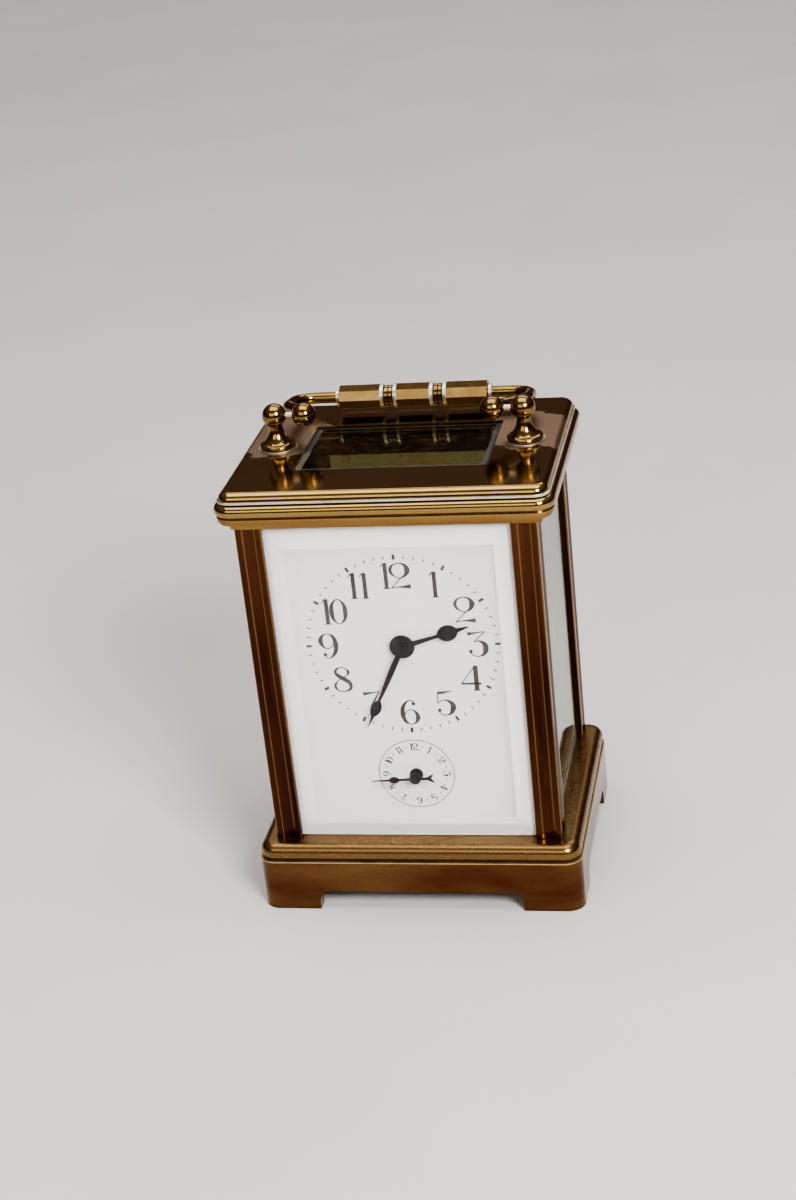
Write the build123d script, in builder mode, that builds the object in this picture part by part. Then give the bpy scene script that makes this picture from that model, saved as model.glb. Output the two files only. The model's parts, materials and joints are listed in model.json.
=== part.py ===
"""Carriage clock with an alarm: a glazed brass case, its folding handle, the dial and the movement.

Millimetres. The origin is the middle of the underside of the base, +X to the right of a person facing
the dial, +Y from the dial towards the rear door and +Z up. Depths are Y values: more negative is nearer
the dial side. Places on the dial and on the movement plates are (x, z) pairs.
"""

from math import acos, atan2, cos, degrees, dist, pi, radians, sin
import os

from build123d import *

os.makedirs("parts", exist_ok=True)

# ---------------------------------------------------------------- driving dimensions
# case
base_width = 85.2
base_depth = 69.2
base_corner = 4.4
plinth_height = 14.2
reveal_height = 0.4
reveal_inset = 1.5
torus_inset = 0.3
torus_top_radius = 2.6
torus_under_radius = 0.9
seat_height = 18.7  # top of the base, where the posts and the movement stand
base_wall = 4.0
foot_width = 15.6
side_foot_width = 14.3
arch_height = 5.4
arch_corner = 3.4

post_half_x = 37.7  # outer faces of the four corner posts
post_half_y = 30.0
post_width = 6.8
post_depth = 7.0
cornice_underside = 107.0
top_height = 117.0  # polished top of the cornice

cornice_half_x = 42.4  # widest line of the cornice moulding
cornice_half_y = 33.4
cornice_corner = 5.0

glass_thickness = 2.0
glass_lip = 1.2  # brass left in front of a pane
glass_seat = 1.4  # how far a pane reaches into its groove
glass_play = 0.1
bevel_width = 6.0
bevel_depth = 0.9
top_opening_x = 49.0
top_opening_y = 31.0
top_glass_middle_y = -0.9

# handle
pivot_height = 125.6
post_ball_x = 31.9
post_ball_radius = 3.15
handle_ball_x = 24.2
handle_ball_radius = 3.1
handle_reach = 23.9  # from the pivot axis to the middle of the grip
handle_droop = 9.8  # degrees below level when folded back
grip_length = 41.2
grip_flats = 6.1

# dial and hands
dial_front = -22.6
dial_thickness = 1.8
dial_half_width = 32.0
dial_bottom = 19.4
dial_top = 106.3
dial_centre = (0.0, 71.46)
minute_angle = 206.0  # clockwise from twelve
hour_angle = 73.0
alarm_angle = 267.0
hand_thickness = 0.35

# movement plates
plate_half_width = 24.0
plate_top = 92.0
front_plate_front = -17.0
front_plate_back = -15.0
back_plate_front = 11.0
back_plate_back = 13.0
pivot_play = 0.05
hole_play = 0.15

# gears: (teeth, module)
barrel_gear = (80, 0.4)
centre_pinion_gear = (10, 0.4)
centre_gear = (64, 0.35)
third_pinion_gear = (8, 0.35)
third_gear = (60, 0.3)
contrate_pinion_gear = (8, 0.3)
contrate_gear = (70, 0.23)
escape_pinion_gear = (7, 0.23)
cannon_gear = (12, 0.25)
minute_gear = (36, 0.25)
minute_pinion_gear = (10, 0.24)
hour_gear = (40, 0.24)
idler_gear = (115, 0.24)
alarm_barrel_gear = (56, 0.3)
alarm_pinion_gear = (8, 0.3)


def pitch_radius(gear):
    """Pitch radius of a (teeth, module) gear."""
    teeth, module = gear
    return teeth * module / 2


def centre_distance(gear, mate):
    """Distance between the centres of two meshed gears."""
    return pitch_radius(gear) + pitch_radius(mate)


def polar(centre, distance, angle):
    """The (x, z) point at a distance and an angle, in degrees from +X towards +Z."""
    return (centre[0] + distance * cos(radians(angle)), centre[1] + distance * sin(radians(angle)))


def line_angle(start, end):
    """Angle of the line from start to end, in degrees from +X towards +Z."""
    return degrees(atan2(end[1] - start[1], end[0] - start[0]))


# places of the arbors on the plates
barrel_centre = (-8.0, 55.34)
contrate_centre = (6.0, 82.5)
centre_to_third = centre_distance(centre_gear, third_pinion_gear)
third_to_contrate = centre_distance(third_gear, contrate_pinion_gear)
centre_to_contrate = dist(dial_centre, contrate_centre)
# the third arbor stands where both of its meshes are right: the cosine rule in the triangle of arbors
third_turn = degrees(
    acos(
        (centre_to_third**2 + centre_to_contrate**2 - third_to_contrate**2)
        / (2 * centre_to_third * centre_to_contrate)
    )
)
third_centre = polar(dial_centre, centre_to_third, line_angle(dial_centre, contrate_centre) - third_turn)
motion_angle = 45.0
motion_centre = polar(dial_centre, centre_distance(cannon_gear, minute_gear), motion_angle)
idler_centre = polar(dial_centre, centre_distance(hour_gear, idler_gear), -90)
alarm_centre = polar(idler_centre, centre_distance(idler_gear, hour_gear), -90)
alarm_barrel_centre = (13.5, 38.5)
verge_angle = 235.0
verge_centre = polar(
    alarm_barrel_centre, centre_distance(alarm_barrel_gear, alarm_pinion_gear), verge_angle
)
hammer_centre = (9.0, 23.6)


# ---------------------------------------------------------------- building blocks
def save(piece, name):
    """Label a finished piece and write it as one STEP file."""
    piece.part.label = name
    export_step(piece.part, f"parts/{name}.step")


def across(depth):
    """Plane parallel to the dial at a depth, with x to the right and y up."""
    return Plane.XZ.offset(-depth)


def disc(centre, radius, front, back, mode=Mode.ADD):
    """Round disc, bar or hole that runs from depth front to depth back."""
    with BuildSketch(across(back)) as face:
        with Locations(centre):
            Circle(radius)
    extrude(face.sketch, amount=back - front, mode=mode)


def block(centre, width, height, front, back, mode=Mode.ADD):
    """Rectangular bar parallel to Y, given by the middle of its section."""
    with BuildSketch(across(back)) as face:
        with Locations(centre):
            Rectangle(width, height)
    extrude(face.sketch, amount=back - front, mode=mode)


def upright(x, y, radius, low, high, mode=Mode.ADD):
    """Vertical round bar or hole."""
    with BuildSketch(Plane.XY.offset(low)) as face:
        with Locations((x, y)):
            Circle(radius)
    extrude(face.sketch, amount=high - low, mode=mode)


def tooth_outline(gear):
    """Radial place and half-width of the corners of one tooth, from its root to its tip."""
    module = gear[1]
    pitch = pi * module
    return [(-1.5 * module, 0.27 * pitch), (0, 0.20 * pitch), (0.8 * module, 0.09 * pitch)]


def toothed(centre, gear, front, back, turn=0.0):
    """Spur gear with a tooth at the angle turn, from depth front to depth back."""
    flank = tooth_outline(gear)
    corners = flank + [(radial, -half) for radial, half in reversed(flank)]
    with BuildSketch(across(back)) as face:
        with Locations(centre):
            Circle(pitch_radius(gear) - 1.2 * gear[1])
        with Locations(centre):
            with PolarLocations(pitch_radius(gear), gear[0], start_angle=turn):
                Polygon(*corners, align=None)
    extrude(face.sketch, amount=back - front)


def mate_turn(turn, gear, mate, line):
    """Turn of a gear that meshes with one turned by turn, along the line of centres."""
    share = (line - turn) * gear[0] / 360
    return line + 180 - (0.5 - share) * 360 / mate[0]


def crossings(centre, rim, hub, count, front, back):
    """Cut the windows between the spokes of a wheel."""
    with BuildSketch(across(back)) as face:
        with Locations(centre):
            Circle(rim)
            Circle(hub, mode=Mode.SUBTRACT)
            with PolarLocations(0, count):
                Rectangle(2 * rim, 0.14 * rim, align=(Align.MIN, Align.CENTER), mode=Mode.SUBTRACT)
    extrude(face.sketch, amount=back - front, mode=Mode.SUBTRACT)


def rounded_block(width, depth, corner, low, high, mode=Mode.ADD):
    """Upright block with rounded corners about the Z axis."""
    with BuildSketch(Plane.XY.offset(low)) as face:
        RectangleRounded(width, depth, corner)
    extrude(face.sketch, amount=high - low, mode=mode)


def spiral(centre, inner_radius, pitch, half_turns, thickness, plane):
    """Flat spiral strip made of semicircles, each half a pitch larger than the last."""
    start = inner_radius
    side = 1
    with BuildSketch(plane) as face:
        with BuildLine() as coil:
            for _ in range(half_turns):
                end = start + pitch / 2
                middle = (end + start) / 2
                shift = side * (start - middle)
                ThreePointArc(
                    (centre[0] + side * start, centre[1]),
                    (centre[0] + shift, centre[1] + side * middle),
                    (centre[0] - side * end, centre[1]),
                )
                start = end
                side = -side
        trace(coil.line, line_width=thickness)
    return face.sketch


# ---------------------------------------------------------------- base
post_middle_x = post_half_x - post_width / 2
post_middle_y = post_half_y - post_depth / 2
post_inner_x = post_half_x - post_width
post_inner_y = post_half_y - post_depth
corner_signs = [(-1, -1), (1, -1), (-1, 1), (1, 1)]

case_screw_radius = 1.2
case_screw_head = 2.2
case_screw_head_height = 1.5
case_screw_reach = 3.7
movement_screw_x = 21.0
movement_screw_y = -2.0
door_axis = (29.2, 28.4)
door_pin_radius = 0.8
door_pin_reach = 1.6
pin_end_play = 0.4
bell_stem_radius = 1.5
hammer_depth = 4.0
hammer_wire = 1.4
hammer_slot_x = 15.6
hammer_slot_length = 15.0
hammer_slot_width = 4.6

with BuildPart() as base_plinth:
    # convex moulding under the posts, then the thin reveal and the plain plinth below it
    inset = 2 * torus_inset
    reveal_top = plinth_height + reveal_height
    rounded_block(base_width - inset, base_depth - inset, base_corner, reveal_top, seat_height)
    fillet(base_plinth.edges().group_by(Axis.Z)[-1], radius=torus_top_radius)
    fillet(base_plinth.edges().group_by(Axis.Z)[0], radius=torus_under_radius)
    inset = 2 * reveal_inset
    rounded_block(base_width - inset, base_depth - inset, base_corner, plinth_height, seat_height - 2)
    rounded_block(base_width, base_depth, base_corner, 0, plinth_height)
    inset = 2 * base_wall
    rounded_block(base_width - inset, base_depth - inset, 2, 0, plinth_height, mode=Mode.SUBTRACT)
    # the arches between the bracket feet, through both walls
    for plane, opening in (
        (Plane.XZ, base_width - 2 * foot_width),
        (Plane.YZ, base_depth - 2 * side_foot_width),
    ):
        with BuildSketch(plane) as arch:
            Rectangle(opening, 2 * arch_height)
            fillet(arch.vertices(), radius=arch_corner)
        extrude(arch.sketch, amount=base_width, both=True, mode=Mode.SUBTRACT)
    with Locations(Plane.XY.offset(plinth_height)):
        with Locations(*[(x * post_middle_x, y * post_middle_y) for x, y in corner_signs]):
            Hole(case_screw_radius + hole_play)
        with Locations((-movement_screw_x, movement_screw_y), (movement_screw_x, movement_screw_y)):
            Hole(case_screw_radius + hole_play)
        with Locations((0, 0)):
            Hole(bell_stem_radius)
    upright(*door_axis, door_pin_radius + pivot_play,
            seat_height - door_pin_reach - pin_end_play, seat_height, Mode.SUBTRACT)
    # slot that lets the alarm hammer down to the bell
    with BuildSketch(Plane.XY.offset(plinth_height)) as slot:
        with Locations((hammer_slot_x, hammer_depth)):
            Rectangle(hammer_slot_length, hammer_slot_width)
    extrude(slot.sketch, amount=seat_height, mode=Mode.SUBTRACT)
save(base_plinth, "base_plinth")

# ---------------------------------------------------------------- corner posts
flute_width = 4.2
flute_depth = 0.55
flute_radius = flute_width**2 / (8 * flute_depth) + flute_depth / 2
spigot_radius = 1.6
spigot_height = 3.0
pane_front = -post_half_y + glass_lip  # outer surface of the front pane
pane_side = post_half_x - glass_lip  # outer surface of the side panes
groove_width = glass_thickness + 2 * glass_play
groove_depth = glass_seat + glass_play

for side_x, side_y in corner_signs:
    name = f"post_{'front' if side_y < 0 else 'rear'}_{'left' if side_x < 0 else 'right'}"
    with BuildPart() as post:
        with BuildSketch(Plane.XY.offset(seat_height)) as section:
            with Locations((side_x * post_middle_x, side_y * post_middle_y)):
                Rectangle(post_width, post_depth)
            fillet(section.vertices(), radius=0.45)
            with Locations((side_x * post_middle_x, side_y * (post_half_y + flute_radius - flute_depth))):
                Circle(flute_radius, mode=Mode.SUBTRACT)
            with Locations((side_x * (post_half_x + flute_radius - flute_depth), side_y * post_middle_y)):
                Circle(flute_radius, mode=Mode.SUBTRACT)
            # groove for the side pane, and for the front pane in the two front posts
            with Locations((side_x * (pane_side - glass_thickness / 2), side_y * post_inner_y)):
                Rectangle(groove_width, 2 * groove_depth, mode=Mode.SUBTRACT)
            if side_y < 0:
                with Locations((side_x * post_inner_x, pane_front + glass_thickness / 2)):
                    Rectangle(2 * groove_depth, groove_width, mode=Mode.SUBTRACT)
        extrude(amount=cornice_underside - seat_height)
        upright(side_x * post_middle_x, side_y * post_middle_y, spigot_radius,
                cornice_underside, cornice_underside + spigot_height)
        upright(side_x * post_middle_x, side_y * post_middle_y, case_screw_radius,
                seat_height, seat_height + case_screw_reach, Mode.SUBTRACT)
    save(post, name)

# six like screws under the base: four hold the posts and two hold the movement
screw_places = [(x * post_middle_x, y * post_middle_y) for x, y in corner_signs]
screw_places += [(side * movement_screw_x, movement_screw_y) for side in (-1, 1)]

with BuildPart() as base_screws:
    for place in screw_places:
        upright(*place, case_screw_head, plinth_height - case_screw_head_height, plinth_height)
        upright(*place, case_screw_radius, plinth_height, seat_height + case_screw_reach - 0.2)
        with BuildSketch(Plane.XY.offset(plinth_height - case_screw_head_height)) as slot:
            with Locations(place):
                Rectangle(2 * case_screw_head, 0.6)
        extrude(slot.sketch, amount=0.6, mode=Mode.SUBTRACT)
save(base_screws, "base_screws")

# ---------------------------------------------------------------- cornice
cornice_wall = 10.9  # thickness of the solid rim at the front and the rear
pocket_ceiling = 116.5  # underside of the lip that holds the top pane down
deck_underside = 113.2
top_pane_margin = 1.5
top_bevel_width = 1.5  # the part of the bevel that shows inside the lip
handle_stud_radius = 1.5
nut_room_radius = 3.3
fillet_line_inset = 1.1

with BuildPart() as cornice:
    # section of the moulding: cove, two small steps, large torus, quirk, thin fillet line and ovolo
    face_plane = Plane(origin=(0, -cornice_half_y, 0), x_dir=(0, -1, 0), z_dir=(-1, 0, 0))
    with BuildSketch(face_plane) as moulding:
        with BuildLine():
            Line((-cornice_corner + 1, cornice_underside), (-3.4, cornice_underside))
            RadiusArc((-3.4, cornice_underside), (-1.6, 108.9), 1.9)
            Line((-1.6, 108.9), (-1.0, 108.9))
            Line((-1.0, 108.9), (-1.0, 109.7))
            Line((-1.0, 109.7), (-0.5, 109.7))
            Line((-0.5, 109.7), (-0.5, 110.6))
            Line((-0.5, 110.6), (-0.9, 110.9))
            ThreePointArc((-0.9, 110.9), (0, 112.5), (-1.1, 114.0))
            Line((-1.1, 114.0), (-1.7, 114.2))
            Line((-1.7, 114.2), (-fillet_line_inset, 114.45))
            Line((-fillet_line_inset, 114.45), (-fillet_line_inset, 114.85))
            Line((-fillet_line_inset, 114.85), (-1.5, 114.95))
            RadiusArc((-1.5, 114.95), (-3.3, top_height), -2.2)
            Line((-3.3, top_height), (-cornice_corner + 1, top_height))
            Line((-cornice_corner + 1, top_height), (-cornice_corner + 1, cornice_underside))
        make_face()
    with BuildLine() as round_case:
        FilletPolyline(
            (-cornice_half_x, -cornice_half_y),
            (-cornice_half_x, cornice_half_y),
            (cornice_half_x, cornice_half_y),
            (cornice_half_x, -cornice_half_y),
            radius=cornice_corner,
            close=True,
        )
    sweep(moulding.sketch, path=round_case.line)
    inset = 2 * (cornice_corner - 1.5)
    rounded_block(2 * cornice_half_x - inset, 2 * cornice_half_y - inset, 1.5, cornice_underside, top_height)
    # hollow under the deck, the pocket of the top pane and its opening
    rounded_block(2 * (post_inner_x - 0.3), 2 * (cornice_half_y - cornice_wall), 1.5,
                  cornice_underside, deck_underside, Mode.SUBTRACT)
    with BuildSketch(Plane.XY.offset(deck_underside)) as pocket:
        with Locations((0, top_glass_middle_y)):
            Rectangle(top_opening_x + 2 * top_pane_margin, top_opening_y + 2 * top_pane_margin)
    extrude(pocket.sketch, amount=pocket_ceiling - deck_underside, mode=Mode.SUBTRACT)
    with BuildSketch(Plane.XY.offset(pocket_ceiling)) as opening:
        with Locations((0, top_glass_middle_y)):
            RectangleRounded(top_opening_x, top_opening_y, 0.6)
    extrude(opening.sketch, amount=2, mode=Mode.SUBTRACT)
    for side_x in (-1, 1):
        upright(side_x * post_ball_x, 0, handle_stud_radius, cornice_underside, top_height, Mode.SUBTRACT)
        # room for the nut under the deck
        upright(side_x * post_ball_x, 0, nut_room_radius, cornice_underside, deck_underside, Mode.SUBTRACT)
    for side_x, side_y in corner_signs:
        upright(side_x * post_middle_x, side_y * post_middle_y, spigot_radius,
                cornice_underside, cornice_underside + spigot_height, Mode.SUBTRACT)
    upright(*door_axis, door_pin_radius + pivot_play, cornice_underside,
            cornice_underside + door_pin_reach + pin_end_play, Mode.SUBTRACT)
save(cornice, "cornice")

# ---------------------------------------------------------------- glass panes
pane_low = seat_height + glass_play
pane_high = cornice_underside - glass_play


with BuildPart() as front_glass:
    width = 2 * (post_inner_x + glass_seat)
    middle = (0, (pane_low + pane_high) / 2)
    block(middle, width, pane_high - pane_low, pane_front, pane_front + glass_thickness)
    outer = front_glass.faces().sort_by(Axis.Y)[0]
    chamfer(outer.edges(), length=bevel_width, length2=bevel_depth, reference=outer)
save(front_glass, "front_glass")

for side in (-1, 1):
    with BuildPart() as side_glass:
        with BuildSketch(Plane.XY.offset(pane_low)):
            with Locations((side * (pane_side - glass_thickness / 2), 0)):
                Rectangle(glass_thickness, 2 * (post_inner_y + glass_seat))
        extrude(amount=pane_high - pane_low)
        outer = side_glass.faces().sort_by(Axis.X)[-1 if side > 0 else 0]
        chamfer(outer.edges(), length=bevel_width, length2=bevel_depth, reference=outer)
    save(side_glass, "left_glass" if side < 0 else "right_glass")

top_pane_thickness = 2.4
top_pane_play = 0.2
with BuildPart() as top_glass:
    with BuildSketch(Plane.XY.offset(pocket_ceiling - top_pane_thickness)):
        with Locations((0, top_glass_middle_y)):
            margin = 2 * (top_pane_margin - top_pane_play)
            Rectangle(top_opening_x + margin, top_opening_y + margin)
    extrude(amount=top_pane_thickness)
    outer = top_glass.faces().sort_by(Axis.Z)[-1]
    chamfer(outer.edges(), length=top_pane_margin + top_bevel_width, length2=bevel_depth, reference=outer)
save(top_glass, "top_glass")

# ---------------------------------------------------------------- rear door
door_thickness = 3.0
door_front = door_axis[1] - door_thickness / 2
door_back = door_axis[1] + door_thickness / 2
door_half_width = door_axis[0] + door_thickness / 2
door_low = seat_height + 0.3
door_high = cornice_underside - 0.3
door_rail = 4.6
door_middle = (0, (door_low + door_high) / 2)
door_glass_front = door_axis[1] - 0.9
door_glass_thickness = 1.8
knob_x = -door_half_width + door_rail / 2
knob_height = 62.0
knob_shank_radius = 0.8
knob_neck_radius = 1.1
knob_radius = 2.3
knob_rounding = 0.9

with BuildPart() as rear_door:
    with BuildSketch(Plane.XY.offset(door_low)):
        with Locations((0, door_axis[1])):
            SlotOverall(2 * door_half_width, door_thickness)
    extrude(amount=door_high - door_low)
    width = 2 * (door_half_width - door_rail)
    height = door_high - door_low - 2 * door_rail
    block(door_middle, width, height, door_front - 1, door_back + 1, Mode.SUBTRACT)
    block(door_middle, width + 2 * glass_seat + 0.2, height + 2 * glass_seat + 0.2,
          door_glass_front - 0.05, door_glass_front + door_glass_thickness + 0.05, Mode.SUBTRACT)
    upright(*door_axis, door_pin_radius, door_low, door_low + 6, Mode.SUBTRACT)
    upright(*door_axis, door_pin_radius, door_high - 6, door_high, Mode.SUBTRACT)
    disc((knob_x, knob_height), knob_shank_radius, door_back - 1.6, door_back + 1, Mode.SUBTRACT)
save(rear_door, "rear_door")

with BuildPart() as door_glass:
    block(door_middle, width + 2 * glass_seat, height + 2 * glass_seat,
          door_glass_front, door_glass_front + door_glass_thickness)
    outer = door_glass.faces().sort_by(Axis.Y)[-1]
    chamfer(outer.edges(), length=bevel_width, length2=bevel_depth, reference=outer)
save(door_glass, "door_glass")

with BuildPart() as door_hinge_pins:
    upright(*door_axis, door_pin_radius, seat_height - door_pin_reach, door_low + 6)
    upright(*door_axis, door_pin_radius, door_high - 6, cornice_underside + door_pin_reach)
save(door_hinge_pins, "door_hinge_pins")

with BuildPart() as door_knob:
    disc((knob_x, knob_height), knob_shank_radius, door_back - 1.6, door_back)
    disc((knob_x, knob_height), knob_neck_radius, door_back, door_back + 1.2)
    disc((knob_x, knob_height), knob_radius, door_back + 1.2, door_back + 3.2)
    fillet(door_knob.faces().sort_by(Axis.Y)[-1].edges(), radius=knob_rounding)
save(door_knob, "door_knob")

# ---------------------------------------------------------------- handle
post_flange_radius = 4.6
washer_radius = 5.0
washer_thickness = 0.25
neck_radius = 1.75
pivot_pin_radius = 0.8
flange_low = top_height + washer_thickness

for side in (-1, 1):
    with BuildPart() as handle_post:
        # turned section: stud, flange with a rounded rim, concave bell, neck and ball
        with BuildSketch(Plane.XZ) as section:
            with BuildLine():
                Line((0, deck_underside - 3), (handle_stud_radius, deck_underside - 3))
                Line((handle_stud_radius, deck_underside - 3), (handle_stud_radius, flange_low))
                Line((handle_stud_radius, flange_low), (post_flange_radius - 0.3, flange_low))
                ThreePointArc(
                    (post_flange_radius - 0.3, flange_low),
                    (post_flange_radius, flange_low + 0.6),
                    (post_flange_radius - 0.45, flange_low + 1.25),
                )
                Line(
                    (post_flange_radius - 0.45, flange_low + 1.25),
                    (post_flange_radius - 0.9, flange_low + 1.4),
                )
                ThreePointArc(
                    (post_flange_radius - 0.9, flange_low + 1.4),
                    (neck_radius + 0.55, flange_low + 3.2),
                    (neck_radius, pivot_height - 2.4),
                )
                Line((neck_radius, pivot_height - 2.4), (0, pivot_height - 2.4))
                Line((0, pivot_height - 2.4), (0, deck_underside - 3))
            make_face()
        revolve(axis=Axis.Z)
        with Locations((0, 0, pivot_height)):
            Sphere(post_ball_radius)
        # cross bore for the pivot pin, open on the side of the handle
        with BuildSketch(Plane.YZ) as bore:
            with Locations((0, pivot_height)):
                Circle(pivot_pin_radius)
        extrude(bore.sketch, amount=-side * (post_ball_radius + 1), mode=Mode.SUBTRACT)
    handle_post.part.position = (side * post_ball_x, 0, 0)
    save(handle_post, "handle_post_left" if side < 0 else "handle_post_right")

with BuildPart() as handle_washers:
    for side in (-1, 1):
        upright(side * post_ball_x, 0, washer_radius, top_height, flange_low)
        upright(side * post_ball_x, 0, handle_stud_radius, top_height, flange_low, Mode.SUBTRACT)
save(handle_washers, "handle_washers")

with BuildPart() as handle_nuts:
    with BuildSketch(Plane.XY.offset(deck_underside - 2)):
        with Locations((-post_ball_x, 0), (post_ball_x, 0)):
            RegularPolygon(2.9, 6)
            Circle(handle_stud_radius, mode=Mode.SUBTRACT)
    extrude(amount=2)
save(handle_nuts, "handle_nuts")

with BuildPart() as handle_pins:
    with BuildSketch(Plane.YZ.offset(handle_ball_x - 1.5)):
        with Locations((0, pivot_height)):
            Circle(pivot_pin_radius)
    extrude(amount=post_ball_x - handle_ball_x + 1.5)
    mirror(about=Plane.YZ)
save(handle_pins, "handle_pins")

# the bail lies in a plane through the pivot axis, tilted down by the droop when it is folded back
bail_plane = Plane(
    origin=(0, 0, pivot_height),
    x_dir=(1, 0, 0),
    z_dir=(0, sin(radians(handle_droop)), cos(radians(handle_droop))),
)
arm_radius = 1.5
arm_tip_x = grip_length / 2 - 3.0
grip_bore_radius = 1.55

for side in (-1, 1):
    with BuildPart() as handle_arm:
        with BuildLine(bail_plane) as arm_path:
            FilletPolyline(
                (side * handle_ball_x, 0),
                (side * (handle_ball_x + 1.2), 4.6),
                (side * 31.4, 11.6),
                (side * 31.4, handle_reach),
                (side * arm_tip_x, handle_reach),
                radius=[5.0, 7.0, 5.6],
            )
        with BuildSketch(Plane(arm_path.line @ 0, z_dir=arm_path.line % 0)) as arm_section:
            Circle(arm_radius)
        sweep(arm_section.sketch, path=arm_path.line)
        with Locations((side * handle_ball_x, 0, pivot_height)):
            Sphere(handle_ball_radius)
        with BuildSketch(Plane.YZ.offset(side * handle_ball_x)) as bore:
            with Locations((0, pivot_height)):
                Circle(pivot_pin_radius + pivot_play)
        extrude(bore.sketch, amount=handle_ball_radius + 1, both=True, mode=Mode.SUBTRACT)
    save(handle_arm, "handle_arm_left" if side < 0 else "handle_arm_right")

grip_centre = bail_plane.from_local_coords((0, handle_reach, 0))
grip_plane = Plane(origin=grip_centre, x_dir=bail_plane.y_dir, z_dir=(1, 0, 0))
collar_length = 1.0
collar_radius = 2.3
# the rings of one group, each as its length and radius
ring_group = [(0.8, 3.1), (0.4, 2.1), (0.8, 2.75), (0.3, 2.1), (0.8, 2.75), (0.4, 2.1), (0.8, 3.1)]
middle_section = 8.9
ring_group_length = sum(length for length, _ in ring_group)
end_section = (grip_length - middle_section) / 2 - ring_group_length - collar_length
facet_tilt = 10.0  # turns one facet of the octagon towards the front

with BuildPart() as handle_grip:
    reach = middle_section / 2
    spans = [(-reach, reach)]
    spans.append((reach + ring_group_length, reach + ring_group_length + end_section))
    spans.append((-spans[1][1], -spans[1][0]))
    for low, high in spans:
        with BuildSketch(grip_plane.offset(low)) as octagon:
            RegularPolygon(grip_flats / 2, 8, major_radius=False, rotation=facet_tilt)
        extrude(octagon.sketch, amount=high - low)
    place = reach
    for length, radius in ring_group:
        for low in (place, -place - length):
            with BuildSketch(grip_plane.offset(low)) as ring:
                Circle(radius)
            extrude(ring.sketch, amount=length)
        place += length
    for low in (-grip_length / 2, grip_length / 2 - collar_length):
        with BuildSketch(grip_plane.offset(low)) as collar:
            Circle(collar_radius)
        extrude(collar.sketch, amount=collar_length)
    for low, amount in ((-grip_length / 2, 3.4), (grip_length / 2, -3.4)):
        with BuildSketch(grip_plane.offset(low)) as bore:
            Circle(grip_bore_radius)
        extrude(bore.sketch, amount=amount, mode=Mode.SUBTRACT)
save(handle_grip, "handle_grip")

# ---------------------------------------------------------------- dial and hands
dial_back = dial_front + dial_thickness
dial_foot_places = [(-20.5, 31.0), (20.5, 31.0), (-20.5, 81.5), (20.5, 82.5)]
dial_foot_radius = 0.8
hour_pipe_radius = 1.9
hour_pipe_bore = 1.35
cannon_radius = 1.25
arbor_radius = 0.9
setting_radius = 1.0
hour_hand_front = dial_front - 1.25
minute_hand_front = dial_front - 2.05
alarm_hand_front = dial_front - 3.1
minute_hub_front = minute_hand_front - 0.35
minute_boss_radius = 2.2
minute_hub_radius = 1.7
hour_boss_radius = 3.2
alarm_boss_radius = 1.5
alarm_hub_radius = 1.25
alarm_collar_radius = 1.75
pin_rounding = 0.3
dial_hole_play = 0.4
alarm_hub_front = alarm_hand_front - 0.35

with BuildPart() as dial_plate:
    middle = (0, (dial_bottom + dial_top) / 2)
    block(middle, 2 * dial_half_width, dial_top - dial_bottom, dial_front, dial_back)
    fillet(dial_plate.edges().filter_by(Axis.Y), radius=1.5)
    fillet(dial_plate.faces().sort_by(Axis.Y)[0].edges(), radius=0.4)
    disc(dial_centre, hour_pipe_radius + dial_hole_play, dial_front, dial_back, Mode.SUBTRACT)
    disc(alarm_centre, setting_radius + dial_hole_play, dial_front, dial_back, Mode.SUBTRACT)
    # feet fused to its back, which stand in the front plate
    for place in dial_foot_places:
        disc(place, dial_foot_radius, dial_back, front_plate_back)
save(dial_plate, "dial_plate")


def hand_plane(centre, angle, depth):
    """Plane of a hand: its y runs towards the tip, clockwise from twelve by the angle."""
    turn = radians(angle)
    return Plane(origin=(centre[0], depth, centre[1]), x_dir=(cos(turn), 0, -sin(turn)), z_dir=(0, -1, 0))


with BuildPart() as minute_hand:
    with BuildSketch(hand_plane(dial_centre, minute_angle, minute_hand_front + hand_thickness)) as shape:
        with BuildLine():
            Line((0, 0), (0.62, 0))
            ThreePointArc((0.62, 0), (0.72, 8.5), (0.3, 16.6))
            ThreePointArc((0.3, 16.6), (1.35, 19.0), (0.42, 21.3))
            Line((0.42, 21.3), (0.09, 24.8))
            Line((0.09, 24.8), (0, 24.8))
            Line((0, 24.8), (0, 0))
        make_face()
        mirror(about=Plane.YZ)
        Circle(minute_boss_radius)
    extrude(shape.sketch, amount=hand_thickness)
    disc(dial_centre, minute_hub_radius, minute_hub_front, minute_hand_front)
    disc(dial_centre, cannon_radius, minute_hand_front, minute_hand_front + hand_thickness, Mode.SUBTRACT)
    disc(dial_centre, arbor_radius, minute_hub_front, minute_hand_front, Mode.SUBTRACT)
save(minute_hand, "minute_hand")

with BuildPart() as hour_hand:
    with BuildSketch(hand_plane(dial_centre, hour_angle, hour_hand_front + hand_thickness)) as shape:
        with BuildLine():
            Line((0, 0), (0.75, 0))
            ThreePointArc((0.75, 0), (0.6, 5.5), (0.42, 9.8))
            ThreePointArc((0.42, 9.8), (2.15, 12.3), (0.55, 15.1))
            Line((0.55, 15.1), (0.1, 18.3))
            Line((0.1, 18.3), (0, 18.3))
            Line((0, 18.3), (0, 0))
        make_face()
        mirror(about=Plane.YZ)
        Circle(hour_boss_radius)
        Circle(hour_pipe_bore, mode=Mode.SUBTRACT)
    extrude(shape.sketch, amount=hand_thickness)
save(hour_hand, "hour_hand")

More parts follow.
